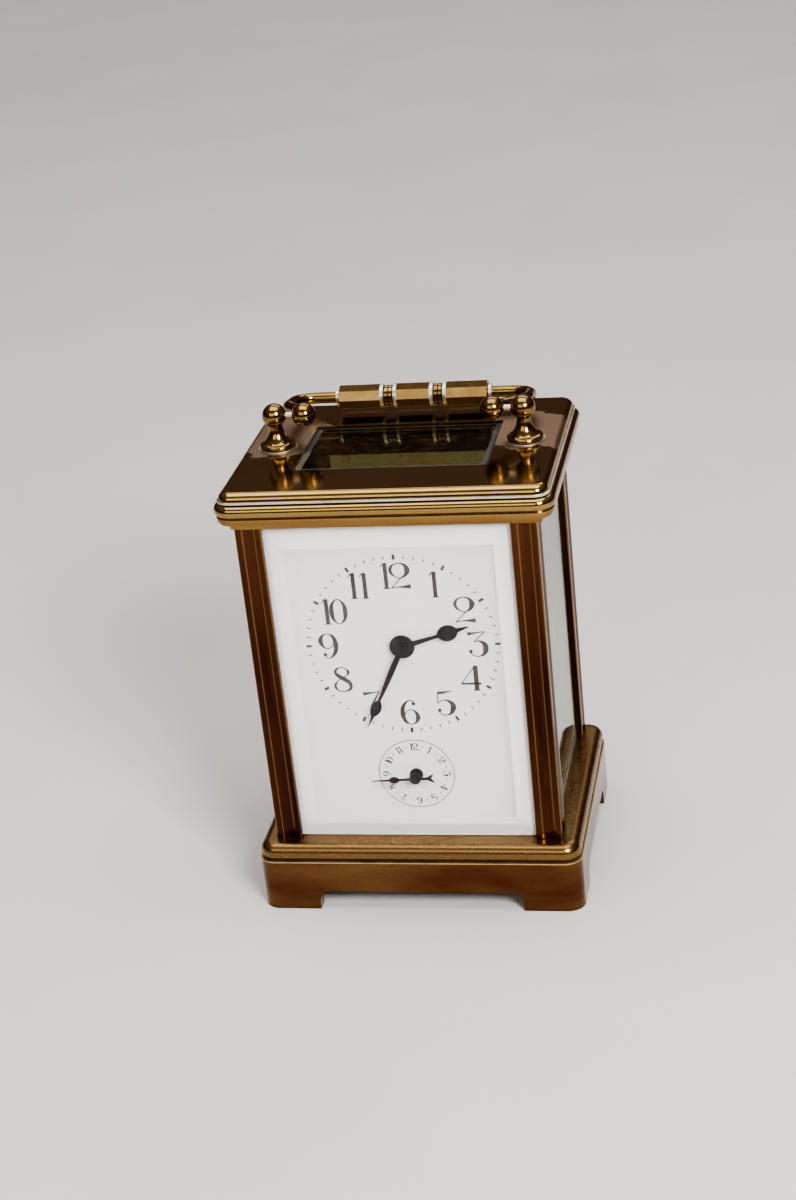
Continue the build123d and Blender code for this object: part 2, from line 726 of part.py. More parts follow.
with BuildPart() as alarm_hand:
    with BuildSketch(hand_plane(alarm_centre, alarm_angle, alarm_hand_front + hand_thickness)) as shape:
        with BuildLine():
            Line((0, -3.0), (0.3, -3.0))
            Line((0.3, -3.0), (1.35, -5.1))
            Line((1.35, -5.1), (0, -4.3))
            Line((0, -4.3), (0, -3.0))
        make_face()
        with BuildLine():
            Line((0, -3.4), (0.35, -3.4))
            Line((0.35, -3.4), (0.3, 4.2))
            ThreePointArc((0.3, 4.2), (0.95, 5.4), (0.25, 6.9))
            Line((0.25, 6.9), (0.07, 11.5))
            Line((0.07, 11.5), (0, 11.5))
            Line((0, 11.5), (0, -3.4))
        make_face()
        mirror(about=Plane.YZ)
        Circle(alarm_boss_radius)
    extrude(shape.sketch, amount=hand_thickness)
    disc(alarm_centre, alarm_hub_radius, alarm_hub_front, alarm_hand_front)
    disc(alarm_centre, setting_radius, alarm_hub_front, alarm_hand_front + hand_thickness, Mode.SUBTRACT)
save(alarm_hand, "alarm_hand")

# ---------------------------------------------------------------- motion work behind the dial
wheel_front = -19.6
wheel_back = -18.8
cannon_front = -18.3
cannon_back = -17.3
minute_wheel_front = -19.7
minute_wheel_back = -17.5
alarm_wheel_hub_back = -17.6
alarm_wheel_hub_radius = 2.0
minute_stud_radius = 0.4
minute_stud_front = -19.9
idler_stud_radius = 0.8
idler_stud_front = -20.1
idler_shoulder_radius = 1.8
idler_shoulder_front = -18.6
square_side = 1.5
square_end = 18.5  # rear end of every squared arbor, inside the rear door
hour_turn = -90 + 180 / hour_gear[0]  # a gap at the bottom, where the idler has a tooth

with BuildPart() as cannon_pinion:
    toothed(dial_centre, cannon_gear, cannon_front, cannon_back, motion_angle)
    disc(dial_centre, cannon_radius, minute_hand_front, cannon_front)
    disc(dial_centre, arbor_radius, minute_hand_front, cannon_back, Mode.SUBTRACT)
save(cannon_pinion, "cannon_pinion")

with BuildPart() as centre_arbor:
    disc(dial_centre, arbor_radius, minute_hub_front - 0.4, back_plate_back)
    fillet(centre_arbor.faces().sort_by(Axis.Y)[0].edges(), radius=pin_rounding)
    block(dial_centre, square_side * 0.8, square_side * 0.8, back_plate_back, square_end)
save(centre_arbor, "centre_arbor")

with BuildPart() as minute_wheel:
    toothed(motion_centre, minute_gear, cannon_front, minute_wheel_back,
            motion_angle + 180 + 180 / minute_gear[0])
    toothed(motion_centre, minute_pinion_gear, minute_wheel_front, cannon_front,
            mate_turn(hour_turn, hour_gear, minute_pinion_gear, motion_angle))
    disc(motion_centre, minute_stud_radius + pivot_play,
         minute_wheel_front, minute_wheel_back, Mode.SUBTRACT)
save(minute_wheel, "minute_wheel")

with BuildPart() as hour_wheel:
    toothed(dial_centre, hour_gear, wheel_front, wheel_back, hour_turn)
    disc(dial_centre, hour_pipe_radius, hour_hand_front + hand_thickness, wheel_front)
    disc(dial_centre, hour_pipe_bore - 0.02, hour_hand_front, hour_hand_front + hand_thickness)
    disc(dial_centre, cannon_radius + pivot_play, hour_hand_front, wheel_back, Mode.SUBTRACT)
save(hour_wheel, "hour_wheel")

with BuildPart() as alarm_idler:
    toothed(idler_centre, idler_gear, wheel_front, wheel_back, 90)
    crossings(idler_centre, 12.3, 2.6, 5, wheel_front, wheel_back)
    disc(idler_centre, idler_stud_radius + pivot_play, wheel_front, wheel_back, Mode.SUBTRACT)
save(alarm_idler, "alarm_idler")

with BuildPart() as alarm_wheel:
    toothed(alarm_centre, hour_gear, wheel_front, wheel_back, 90)
    disc(alarm_centre, alarm_wheel_hub_radius, wheel_back, alarm_wheel_hub_back)
    disc(alarm_centre, setting_radius + pivot_play, wheel_front, alarm_wheel_hub_back, Mode.SUBTRACT)
save(alarm_wheel, "alarm_wheel")

with BuildPart() as alarm_setting_arbor:
    disc(alarm_centre, setting_radius, alarm_hub_front, back_plate_back)
    # collar in front of the dial, which the hand is pushed up to
    disc(alarm_centre, alarm_collar_radius, dial_front - 0.75, dial_front - 0.2)
    fillet(alarm_setting_arbor.faces().sort_by(Axis.Y)[0].edges(), radius=pin_rounding)
    block(alarm_centre, square_side * 0.9, square_side * 0.9, back_plate_back, square_end)
save(alarm_setting_arbor, "alarm_setting_arbor")

# ---------------------------------------------------------------- movement frame
barrel_arbor_radius = 1.5
alarm_arbor_radius = 1.3
train_pivot = 0.5
hammer_arbor_radius = 0.7
pillar_radius = 2.0
pillar_end = 1.2
pillar_places = [(-21.0, 22.6), (21.0, 22.6), (-21.0, 88.0), (21.0, 88.0)]
through_holes = [
    (dial_centre, arbor_radius),
    (barrel_centre, barrel_arbor_radius),
    (third_centre, train_pivot),
    (contrate_centre, train_pivot),
    (alarm_centre, setting_radius),
    (alarm_barrel_centre, alarm_arbor_radius),
    (verge_centre, train_pivot),
    (hammer_centre, hammer_arbor_radius),
]


def movement_plate(front, back):
    """Plate of the movement with its pivot holes, standing on the base."""
    block((0, (seat_height + plate_top) / 2), 2 * plate_half_width, plate_top - seat_height, front, back)
    for place, radius in through_holes:
        disc(place, radius + pivot_play, front, back, Mode.SUBTRACT)
    for place in pillar_places:
        disc(place, pillar_end, front, back, Mode.SUBTRACT)


with BuildPart() as front_plate:
    movement_plate(front_plate_front, front_plate_back)
    for place in dial_foot_places:
        disc(place, dial_foot_radius + pivot_play, front_plate_front, front_plate_back, Mode.SUBTRACT)
    # studs of the minute wheel and of the alarm idler
    disc(motion_centre, minute_stud_radius, minute_stud_front, front_plate_front)
    disc(idler_centre, idler_stud_radius, idler_stud_front, front_plate_front)
    disc(idler_centre, idler_shoulder_radius, idler_shoulder_front, front_plate_front)
save(front_plate, "front_plate")

click_centre = (-18.6, 61.5)
click_stud_radius = 0.8
with BuildPart() as back_plate:
    movement_plate(back_plate_front, back_plate_back)
    # stud of the click
    disc(click_centre, click_stud_radius, back_plate_back, back_plate_back + 1.8)
save(back_plate, "back_plate")

with BuildPart() as plate_pillars:
    for place in pillar_places:
        disc(place, pillar_radius, front_plate_back, back_plate_front)
        disc(place, pillar_end, front_plate_front - 1.6, back_plate_back + 1.6)
    for side in (-1, 1):
        upright(side * movement_screw_x, movement_screw_y, case_screw_radius,
                seat_height, seat_height + case_screw_reach, Mode.SUBTRACT)
save(plate_pillars, "plate_pillars")

with BuildPart() as plate_nuts:
    for front in (front_plate_front - 1.4, back_plate_back):
        with BuildSketch(across(front + 1.4)) as nuts:
            with Locations(*pillar_places):
                RegularPolygon(2.1, 6)
                Circle(pillar_end, mode=Mode.SUBTRACT)
        extrude(nuts.sketch, amount=1.4)
save(plate_nuts, "plate_nuts")

# ---------------------------------------------------------------- going barrel and winding work
barrel_tooth_front = -13.4
barrel_tooth_back = -11.4
barrel_radius = 15.0
barrel_wall = 0.9
barrel_back = 2.0
cap_back = 2.9
arbor_core = 4.0
winding_side = 1.9
ratchet_radius = 6.5
ratchet_teeth = 24
ratchet_front = back_plate_back + 0.3
ratchet_back = ratchet_front + 1.2

with BuildPart() as barrel:
    toothed(barrel_centre, barrel_gear, barrel_tooth_front, barrel_tooth_back,
            line_angle(barrel_centre, dial_centre))
    disc(barrel_centre, barrel_radius, barrel_tooth_back, barrel_back)
    disc(barrel_centre, barrel_radius - barrel_wall, barrel_tooth_front + 1.0, barrel_back, Mode.SUBTRACT)
    disc(barrel_centre, barrel_arbor_radius + pivot_play, barrel_tooth_front, barrel_back, Mode.SUBTRACT)
save(barrel, "barrel")

with BuildPart() as barrel_cap:
    disc(barrel_centre, barrel_radius, barrel_back, cap_back)
    disc(barrel_centre, barrel_arbor_radius + pivot_play, barrel_back, cap_back, Mode.SUBTRACT)
save(barrel_cap, "barrel_cap")

with BuildPart() as mainspring:
    coil = spiral(barrel_centre, arbor_core + 0.6, 1.1, 16, 0.35, across(barrel_back - 0.4))
    extrude(coil, amount=barrel_back - 0.4 - (barrel_tooth_front + 1.4))
save(mainspring, "mainspring")

def ratchet(centre, radius, teeth, front, back):
    """Saw-toothed ratchet wheel."""
    root = radius - 1.0
    step = 360 / teeth
    with BuildSketch(across(back)) as face:
        with Locations(centre):
            Circle(root)
            with PolarLocations(0, teeth):
                Polygon((0, 0), (radius, 0), polar((0, 0), root, step), align=None)
    extrude(face.sketch, amount=back - front)


with BuildPart() as winding_arbor:
    disc(barrel_centre, barrel_arbor_radius, front_plate_front, ratchet_back)
    disc(barrel_centre, arbor_core, barrel_tooth_front + 1.2, barrel_back - 0.2)
    block(barrel_centre, winding_side, winding_side, ratchet_back, square_end)
    ratchet(barrel_centre, ratchet_radius, ratchet_teeth, ratchet_front, ratchet_back)
save(winding_arbor, "winding_arbor")

with BuildPart() as click:
    # lever from its stud to a beak that stands at the tip circle of the ratchet
    with BuildSketch(across(ratchet_back)) as shape:
        with Locations(click_centre):
            Circle(1.9)
        beak = polar(barrel_centre, ratchet_radius + 0.15, 118)
        heel = polar(barrel_centre, 9.4, 122)
        shoulder = (click_centre[0] + 0.4, click_centre[1] + 1.8)
        Polygon(click_centre, shoulder, heel, beak, align=None)
        with Locations(click_centre):
            Circle(click_stud_radius + pivot_play, mode=Mode.SUBTRACT)
    extrude(shape.sketch, amount=ratchet_back - ratchet_front)
save(click, "click")

# ---------------------------------------------------------------- going train
train_gap = 0.4  # end shake between a wheel's pinion and the plates
centre_wheel_front = 5.0
third_wheel_front = -1.2
wheel_thickness = 0.9
pinion_spare = 0.4  # how far a pinion is longer than its wheel at each side

with BuildPart() as centre_wheel:
    line = line_angle(dial_centre, barrel_centre)
    toothed(dial_centre, centre_pinion_gear, barrel_tooth_front - 0.3, barrel_tooth_back + 0.3,
            line + 180 / centre_pinion_gear[0])
    disc(dial_centre, 1.3, barrel_tooth_back + 0.3, centre_wheel_front)
    line = line_angle(dial_centre, third_centre)
    toothed(dial_centre, centre_gear, centre_wheel_front, centre_wheel_front + wheel_thickness, line)
    crossings(dial_centre, 9.4, 2.4, 5, centre_wheel_front, centre_wheel_front + wheel_thickness)
    disc(dial_centre, arbor_radius + pivot_play, front_plate_back, back_plate_front, Mode.SUBTRACT)
save(centre_wheel, "centre_wheel")

with BuildPart() as third_wheel:
    disc(third_centre, train_pivot, front_plate_front, back_plate_back)
    disc(third_centre, 0.75, front_plate_back + train_gap, back_plate_front - train_gap)
    line = line_angle(third_centre, dial_centre)
    toothed(third_centre, third_pinion_gear, centre_wheel_front - pinion_spare,
            centre_wheel_front + wheel_thickness + pinion_spare, line + 180 / third_pinion_gear[0])
    line = line_angle(third_centre, contrate_centre)
    toothed(third_centre, third_gear, third_wheel_front, third_wheel_front + wheel_thickness, line)
    # the windows are narrow enough to leave the pinion and the arbor whole
    crossings(third_centre, 7.3, 1.9, 4, third_wheel_front, third_wheel_front + wheel_thickness)
save(third_wheel, "third_wheel")

contrate_radius = pitch_radius(contrate_gear)
contrate_back = -6.8
contrate_rim_front = -7.6
contrate_tooth_front = -8.2
escape_axis_y = contrate_tooth_front + 0.12 - pitch_radius(escape_pinion_gear)
contrate_module = contrate_gear[1]

with BuildPart() as contrate_wheel:
    disc(contrate_centre, train_pivot, front_plate_front, back_plate_back)
    disc(contrate_centre, 0.7, front_plate_back + train_gap, back_plate_front - train_gap)
    line = line_angle(contrate_centre, third_centre)
    toothed(contrate_centre, contrate_pinion_gear, third_wheel_front - pinion_spare,
            third_wheel_front + wheel_thickness + pinion_spare, line + 180 / contrate_pinion_gear[0])
    # crown rim with teeth that point towards the dial
    disc(contrate_centre, contrate_radius + 0.35, contrate_rim_front, contrate_back)
    crossings(contrate_centre, contrate_radius - 1.2, 1.8, 4, contrate_rim_front, contrate_back)
    with BuildSketch(across(contrate_rim_front)) as crown:
        with Locations(contrate_centre):
            with PolarLocations(contrate_radius, contrate_gear[0], start_angle=90):
                Rectangle(0.7, 0.36 * pi * contrate_module)
    extrude(crown.sketch, amount=contrate_rim_front - contrate_tooth_front)
save(contrate_wheel, "contrate_wheel")

# ---------------------------------------------------------------- platform escapement
platform_top = 94.0
escape_place = (contrate_centre[0], escape_axis_y)
escape_level = 95.2
escape_thickness = 0.5
escape_teeth = 15
escape_radius = 3.3
lever_level = escape_level
lever_thickness = 0.7
escape_line = 130.0  # direction from the escape wheel over the lever to the balance, from +X towards +Y
lever_place = polar(escape_place, 4.7, escape_line)
balance_place = polar(lever_place, 6.4, escape_line)
balance_level = 98.6
balance_rim = 7.4
staff_radius = 0.25
escape_staff_radius = 0.3
jewel_radius = 1.2
jewel_height = 0.4
platform_screw_radius = 0.65
bridge_low = 97.0
bridge_high = 97.8
bridge_foot = (10.2, -13.6)
cock_low = 100.9
cock_high = 102.0
cock_foot = (balance_place[0], 10.6)
platform_screw_places = [(-11.4, -15.4), (12.4, -15.4), (-11.4, 11.4), (12.4, 11.4)]


def strut(start, end, width, low, high):
    """Flat bar with round ends between two (x, y) places, from low to high."""
    middle_line = degrees(atan2(end[1] - start[1], end[0] - start[0]))
    length = dist(start, end)
    with BuildSketch(Plane.XY.offset(low)) as face:
        with Locations(((start[0] + end[0]) / 2, (start[1] + end[1]) / 2)):
            SlotCenterToCenter(length, width, rotation=middle_line)
    extrude(face.sketch, amount=high - low)


with BuildPart() as platform:
    with BuildSketch(Plane.XY.offset(plate_top)):
        with Locations((0.5, (front_plate_front + back_plate_back) / 2)):
            RectangleRounded(27.0, back_plate_back - front_plate_front, 1.0)
    extrude(amount=platform_top - plate_top)
    upright(*escape_place, 1.6, plate_top, platform_top, Mode.SUBTRACT)
    for place in platform_screw_places:
        upright(*place, platform_screw_radius + pivot_play, plate_top, platform_top, Mode.SUBTRACT)
    # jewel settings of the lever and the balance, with their pivot holes
    for place in (lever_place, balance_place):
        upright(*place, jewel_radius, platform_top, platform_top + jewel_height)
        upright(*place, staff_radius + pivot_play, plate_top, platform_top + jewel_height, Mode.SUBTRACT)
save(platform, "platform")

with BuildPart() as platform_screws:
    for place in platform_screw_places:
        upright(*place, platform_screw_radius, plate_top, platform_top)
        upright(*place, 1.25, platform_top, platform_top + 0.9)
        with BuildSketch(Plane.XY.offset(platform_top + 0.5)) as slot:
            with Locations(place):
                Rectangle(2.6, 0.4)
        extrude(slot.sketch, amount=0.4, mode=Mode.SUBTRACT)
save(platform_screws, "platform_screws")

with BuildPart() as escape_wheel:
    upright(*escape_place, escape_staff_radius, 88.8, bridge_high)
    # pinion that hangs below the platform and meshes with the crown teeth
    with BuildSketch(Plane.XY.offset(89.2)) as leaves:
        with Locations(escape_place):
            Circle(pitch_radius(escape_pinion_gear) - 1.2 * contrate_module)
            with PolarLocations(pitch_radius(escape_pinion_gear), escape_pinion_gear[0],
                                start_angle=90 + 180 / escape_pinion_gear[0]):
                Polygon(
                    (-0.4, 0.13), (0, 0.12), (0.19, 0.05),
                    (0.19, -0.05), (0, -0.12), (-0.4, -0.13), align=None,
                )
    extrude(leaves.sketch, amount=2.2)
    with BuildSketch(Plane.XY.offset(escape_level)) as wheel:
        with Locations(escape_place):
            Circle(2.5)
            with PolarLocations(0, escape_teeth):
                Polygon((1.6, -0.5), (escape_radius, 0.25), (escape_radius, 0.4), (2.3, 0.35), align=None)
            Circle(1.8, mode=Mode.SUBTRACT)
            with PolarLocations(0, 4):
                Rectangle(2.2, 0.45, align=(Align.MIN, Align.CENTER))
            Circle(0.6)
    extrude(wheel.sketch, amount=escape_thickness)
save(escape_wheel, "escape_wheel")

with BuildPart() as lever:
    lever_way = polar((0, 0), 1, escape_line)
    lever_plane = Plane(origin=(*lever_place, lever_level), x_dir=(*lever_way, 0))
    with BuildSketch(lever_plane) as shape:
        # arms with the pallets, stem and fork
        with BuildLine():
            Polyline((-0.6, -3.4), (0.3, -3.4), (0.7, -0.6), (3.9, -0.35), (4.9, -0.9), (5.3, -0.9),
                     (5.3, -0.45), (4.7, -0.3), (4.7, 0.3), (5.3, 0.45), (5.3, 0.9), (4.9, 0.9),
                     (3.9, 0.35), (0.7, 0.6), (0.3, 3.4), (-0.6, 3.4), (-0.6, -3.4), close=False)
        make_face()
    extrude(shape.sketch, amount=lever_thickness)
    upright(*lever_place, 0.5, platform_top + 0.7, bridge_low - 0.3)
    upright(*lever_place, staff_radius, plate_top + 0.4, bridge_high)
save(lever, "lever")

with BuildPart() as escapement_bridge:
    strut(bridge_foot, escape_place, 3.0, bridge_low, bridge_high)
    strut(escape_place, lever_place, 2.2, bridge_low, bridge_high)
    upright(*bridge_foot, 1.5, platform_top, bridge_high)
    upright(*escape_place, escape_staff_radius + pivot_play, bridge_low, bridge_high, Mode.SUBTRACT)
    upright(*lever_place, staff_radius + pivot_play, bridge_low, bridge_high, Mode.SUBTRACT)
save(escapement_bridge, "escapement_bridge")

with BuildPart() as balance_wheel:
    upright(*balance_place, staff_radius, plate_top + 0.4, cock_high)
    upright(*balance_place, 0.6, platform_top + 0.7, cock_low - 0.3)
    # safety roller above the lever fork
    upright(*balance_place, 1.3, lever_level + lever_thickness + 0.3, lever_level + lever_thickness + 0.8)
    with BuildSketch(Plane.XY.offset(balance_level)) as rim:
        with Locations(balance_place):
            Circle(balance_rim)
            Circle(balance_rim - 1.0, mode=Mode.SUBTRACT)
            Rectangle(2 * balance_rim - 0.8, 0.9)
            Circle(1.2)
    extrude(rim.sketch, amount=1.1)
    # timing screws around the rim
    with BuildSketch(Plane.XY.offset(balance_level + 0.2)) as screws:
        with Locations(balance_place):
            with PolarLocations(balance_rim + 0.2, 12, start_angle=15):
                Rectangle(0.8, 0.7)
    extrude(screws.sketch, amount=0.7)
save(balance_wheel, "balance_wheel")

with BuildPart() as hairspring:
    coil = spiral(balance_place, 0.7, 0.55, 12, 0.09, Plane.XY.offset(balance_level + 1.35))
    extrude(coil, amount=0.35)
save(hairspring, "hairspring")

with BuildPart() as balance_cock:
    strut(cock_foot, balance_place, 4.2, cock_low, cock_high)
    upright(*cock_foot, 2.1, platform_top, cock_high)
    upright(*balance_place, staff_radius + pivot_play, cock_low, cock_high, Mode.SUBTRACT)
save(balance_cock, "balance_cock")

# ---------------------------------------------------------------- alarm work
alarm_drum_radius = 7.9
alarm_drum_wall = 0.8
alarm_tooth_front = -5.4
alarm_tooth_back = -3.8
alarm_drum_front = -13.4
verge_front = 1.0
verge_teeth = 21
verge_radius = 5.0
alarm_ratchet_back = ratchet_front + 1.0

with BuildPart() as alarm_barrel:
    toothed(alarm_barrel_centre, alarm_barrel_gear, alarm_tooth_front, alarm_tooth_back,
            line_angle(alarm_barrel_centre, verge_centre))
    disc(alarm_barrel_centre, alarm_drum_radius, alarm_drum_front, alarm_tooth_front)
    disc(alarm_barrel_centre, alarm_drum_radius - alarm_drum_wall,
         alarm_drum_front + alarm_drum_wall, alarm_tooth_front, Mode.SUBTRACT)
    disc(alarm_barrel_centre, alarm_arbor_radius + pivot_play,
         alarm_drum_front, alarm_tooth_back, Mode.SUBTRACT)
save(alarm_barrel, "alarm_barrel")

with BuildPart() as alarm_winding_arbor:
    disc(alarm_barrel_centre, alarm_arbor_radius, front_plate_front, alarm_ratchet_back)
    disc(alarm_barrel_centre, 3.0, alarm_drum_front + 1.0, alarm_tooth_front - 0.2)
    block(alarm_barrel_centre, 1.6, 1.6, alarm_ratchet_back, square_end)
    ratchet(alarm_barrel_centre, 4.8, 18, ratchet_front, alarm_ratchet_back)
save(alarm_winding_arbor, "alarm_winding_arbor")

with BuildPart() as alarm_verge_wheel:
    disc(verge_centre, train_pivot, front_plate_front, back_plate_back)
    disc(verge_centre, 0.7, front_plate_back + train_gap, back_plate_front - train_gap)
    line = line_angle(verge_centre, alarm_barrel_centre)
    toothed(verge_centre, alarm_pinion_gear, alarm_tooth_front - pinion_spare,
            alarm_tooth_back + pinion_spare, line + 180 / alarm_pinion_gear[0])
    with BuildSketch(across(verge_front + 0.8)) as teeth:
        with Locations(verge_centre):
            Circle(verge_radius - 1.1)
            with PolarLocations(0, verge_teeth):
                Polygon((2, -0.5), (verge_radius, 0), (3.6, 0.6), align=None)
    extrude(teeth.sketch, amount=0.8)
save(alarm_verge_wheel, "alarm_verge_wheel")

bell_radius = 17.0
bell_mouth = 6.0
bell_crown = 12.2
bell_wall = 1.2
hammer_head = (20.4, 8.8)

with BuildPart() as alarm_hammer:
    disc(hammer_centre, hammer_arbor_radius, front_plate_front, back_plate_back)
    disc(hammer_centre, 1.3, verge_front - 0.3, hammer_depth + 1.2)
    # pallet arms below the verge wheel
    with BuildSketch(across(verge_front + 0.8)) as pallets:
        with Locations(polar(hammer_centre, 1.0, 180), polar(hammer_centre, 1.0, 0)):
            Rectangle(2.4, 1.2)
    extrude(pallets.sketch, amount=0.8)
    # bent wire that carries the head outside the rim of the bell
    with BuildSketch(across(hammer_depth + hammer_wire / 2)) as wire:
        with BuildLine():
            Polyline(hammer_centre, (18.4, 17.0), hammer_head)
        trace(line_width=hammer_wire)
    extrude(wire.sketch, amount=hammer_wire)
    with BuildSketch(Plane.YZ.offset(hammer_head[0] - 1.6)) as head:
        with Locations((hammer_depth, hammer_head[1])):
            Circle(1.9)
    extrude(head.sketch, amount=3.2)
save(alarm_hammer, "alarm_hammer")

with BuildPart() as bell:
    with BuildSketch(Plane.XZ) as section:
        with BuildLine():
            Line((0, bell_crown), (2.5, bell_crown))
            ThreePointArc((2.5, bell_crown), (12.6, 10.6), (bell_radius, bell_mouth))
            Line((bell_radius, bell_mouth), (bell_radius - bell_wall, bell_mouth))
            ThreePointArc((bell_radius - bell_wall, bell_mouth), (11.8, 9.6), (2.5, bell_crown - bell_wall))
            Line((2.5, bell_crown - bell_wall), (0, bell_crown - bell_wall))
            Line((0, bell_crown - bell_wall), (0, bell_crown))
        make_face()
    revolve(axis=Axis.Z)
    upright(0, 0, bell_stem_radius, bell_crown - bell_wall, bell_crown, Mode.SUBTRACT)
save(bell, "bell")

with BuildPart() as bell_screw:
    upright(0, 0, bell_stem_radius, bell_crown - bell_wall, seat_height)
    upright(0, 0, 2.4, bell_crown, plinth_height)
    upright(0, 0, 2.8, bell_crown - bell_wall - 1.4, bell_crown - bell_wall)
save(bell_screw, "bell_screw")
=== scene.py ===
import json
from math import cos, pi, radians, sin, tau

import bmesh
import bpy
from mathutils import Matrix, Vector


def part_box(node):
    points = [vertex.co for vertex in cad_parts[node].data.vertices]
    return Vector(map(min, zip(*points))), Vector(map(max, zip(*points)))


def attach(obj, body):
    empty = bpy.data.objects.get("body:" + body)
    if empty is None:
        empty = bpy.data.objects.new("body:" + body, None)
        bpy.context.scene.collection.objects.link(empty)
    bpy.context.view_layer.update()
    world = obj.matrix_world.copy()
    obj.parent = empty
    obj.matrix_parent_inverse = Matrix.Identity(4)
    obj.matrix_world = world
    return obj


# A carriage clock with an alarm: finishes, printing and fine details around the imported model.
# Metres, +Z up, dial towards -Y. Numbers written with * MM are millimetres.

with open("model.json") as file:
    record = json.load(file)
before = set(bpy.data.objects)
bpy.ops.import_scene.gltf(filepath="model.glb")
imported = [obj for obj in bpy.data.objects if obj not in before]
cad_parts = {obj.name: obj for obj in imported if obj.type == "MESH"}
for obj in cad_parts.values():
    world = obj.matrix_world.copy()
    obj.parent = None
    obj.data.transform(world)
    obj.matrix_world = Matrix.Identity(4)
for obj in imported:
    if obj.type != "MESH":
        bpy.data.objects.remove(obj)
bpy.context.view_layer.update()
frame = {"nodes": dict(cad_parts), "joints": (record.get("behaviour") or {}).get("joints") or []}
MM = 0.001
scene = bpy.context.scene


# ---------------------------------------------------------------- camera, floor and light
CAMERA_PLACE = (110.1 * MM, -511.7 * MM, 311.4 * MM)
CAMERA_YAW, CAMERA_PITCH, CAMERA_ROLL = -12.69, -24.42, -6.31
CAMERA_LENS = 66.0
NEAREST_SEEN, FARTHEST_SEEN = 0.02, 20
FLOOR_HALF_WIDTH = 3.0
FLOOR_TONES = ((0.55, 0.54, 0.53), (0.585, 0.575, 0.565))
CLOCK_MIDDLE = (0, 0, 0.06)
# Softboxes: place, the point they shine at, size, watts, colour
LIGHTS = {
    "key_light": ((0.46, -0.66, 0.62), CLOCK_MIDDLE, (0.30, 0.30), 15.5, (1.0, 0.98, 0.95)),
    "front_light": ((-0.27, -1.0, 0.64), CLOCK_MIDDLE, (0.9, 0.45), 3.4, (1.0, 0.99, 0.97)),
    "overhead_light": ((0.0, 0.0, 1.5), CLOCK_MIDDLE, (1.5, 1.0), 21, (1.0, 0.99, 0.975)),
    "floor_light": ((0.0, 2.3, 2.1), (0.0, 2.3, 0.0), (2.4, 1.6), 34, (1.0, 0.99, 0.98)),
}
ROOM_WALLS = (0.105, 0.048, 0.032)
ROOM_CEILING = (0.34, 0.30, 0.28)
BACKDROP = (0.42, 0.415, 0.41)
EXPOSURE = -0.22


def make_camera():
    """Stands a little to the right of the clock and looks down on it, tilted as a hand-held camera is."""
    camera = bpy.data.objects.new("camera", bpy.data.cameras.new("camera"))
    scene.collection.objects.link(camera)
    camera.data.lens = CAMERA_LENS
    camera.data.clip_start = NEAREST_SEEN
    camera.data.clip_end = FARTHEST_SEEN
    turn = Matrix.Rotation(radians(-CAMERA_YAW), 4, "Z")
    tip = Matrix.Rotation(radians(90 + CAMERA_PITCH), 4, "X")
    roll = Matrix.Rotation(radians(CAMERA_ROLL), 4, "Z")
    camera.matrix_world = Matrix.Translation(CAMERA_PLACE) @ turn @ tip @ roll
    scene.camera = camera


def soft_light(name, place, aim, size, power, colour):
    """Rectangular softbox at a place, turned to shine at a point."""
    lamp = bpy.data.lights.new(name, "AREA")
    lamp.shape = "RECTANGLE"
    lamp.size, lamp.size_y = size
    lamp.energy = power
    lamp.color = colour
    holder = bpy.data.objects.new(name, lamp)
    scene.collection.objects.link(holder)
    holder.location = place
    holder.rotation_euler = (Vector(aim) - Vector(place)).to_track_quat("-Z", "Y").to_euler()


def make_stage():
    """Pale floor, dim room and the softboxes."""
    half = FLOOR_HALF_WIDTH
    corners = [(-half, -half, 0), (half, -half, 0), (half, half, 0), (-half, half, 0)]
    mesh = bpy.data.meshes.new("floor")
    mesh.from_pydata(corners, [], [(0, 1, 2, 3)])
    floor = bpy.data.objects.new("floor", mesh)
    scene.collection.objects.link(floor)
    paper = Shader("floor_paper")
    tone = paper.ramp(paper.noise(9, 3), [(0.3, FLOOR_TONES[0]), (0.7, FLOOR_TONES[1])])
    paper.finish({"Base Color": tone, "Roughness": 0.85, "Specular IOR Level": 0.2})
    mesh.materials.append(paper.material)
    make_room()
    for name, settings in LIGHTS.items():
        soft_light(name, *settings)


def make_room():
    """Pale backdrop beyond the floor. The metal mirrors a dim warm room, a little lighter overhead."""
    world = bpy.data.worlds.new("room")
    scene.world = world
    world.use_nodes = True
    nodes, link = world.node_tree.nodes, world.node_tree.links.new
    split = nodes.new("ShaderNodeSeparateXYZ")
    link(nodes.new("ShaderNodeTexCoord").outputs["Generated"], split.inputs[0])
    tone = nodes.new("ShaderNodeValToRGB")
    link(split.outputs["Z"], tone.inputs["Fac"])
    walls, ceiling = tone.color_ramp.elements
    walls.position, walls.color = 0.25, (*ROOM_WALLS, 1)
    ceiling.position, ceiling.color = 0.75, (*ROOM_CEILING, 1)
    dim = nodes["Background"]
    link(tone.outputs["Color"], dim.inputs["Color"])
    backdrop = nodes.new("ShaderNodeBackground")
    backdrop.inputs["Color"].default_value = (*BACKDROP, 1)
    blend = nodes.new("ShaderNodeMixShader")
    link(nodes.new("ShaderNodeLightPath").outputs["Is Camera Ray"], blend.inputs[0])
    link(dim.outputs[0], blend.inputs[1])
    link(backdrop.outputs[0], blend.inputs[2])
    link(blend.outputs[0], nodes["World Output"].inputs["Surface"])


# ---------------------------------------------------------------- finishes
MIX_FIRST, MIX_SECOND, MIX_COLOUR = 6, 7, 2  # the colour sockets of a Mix node, which share their names


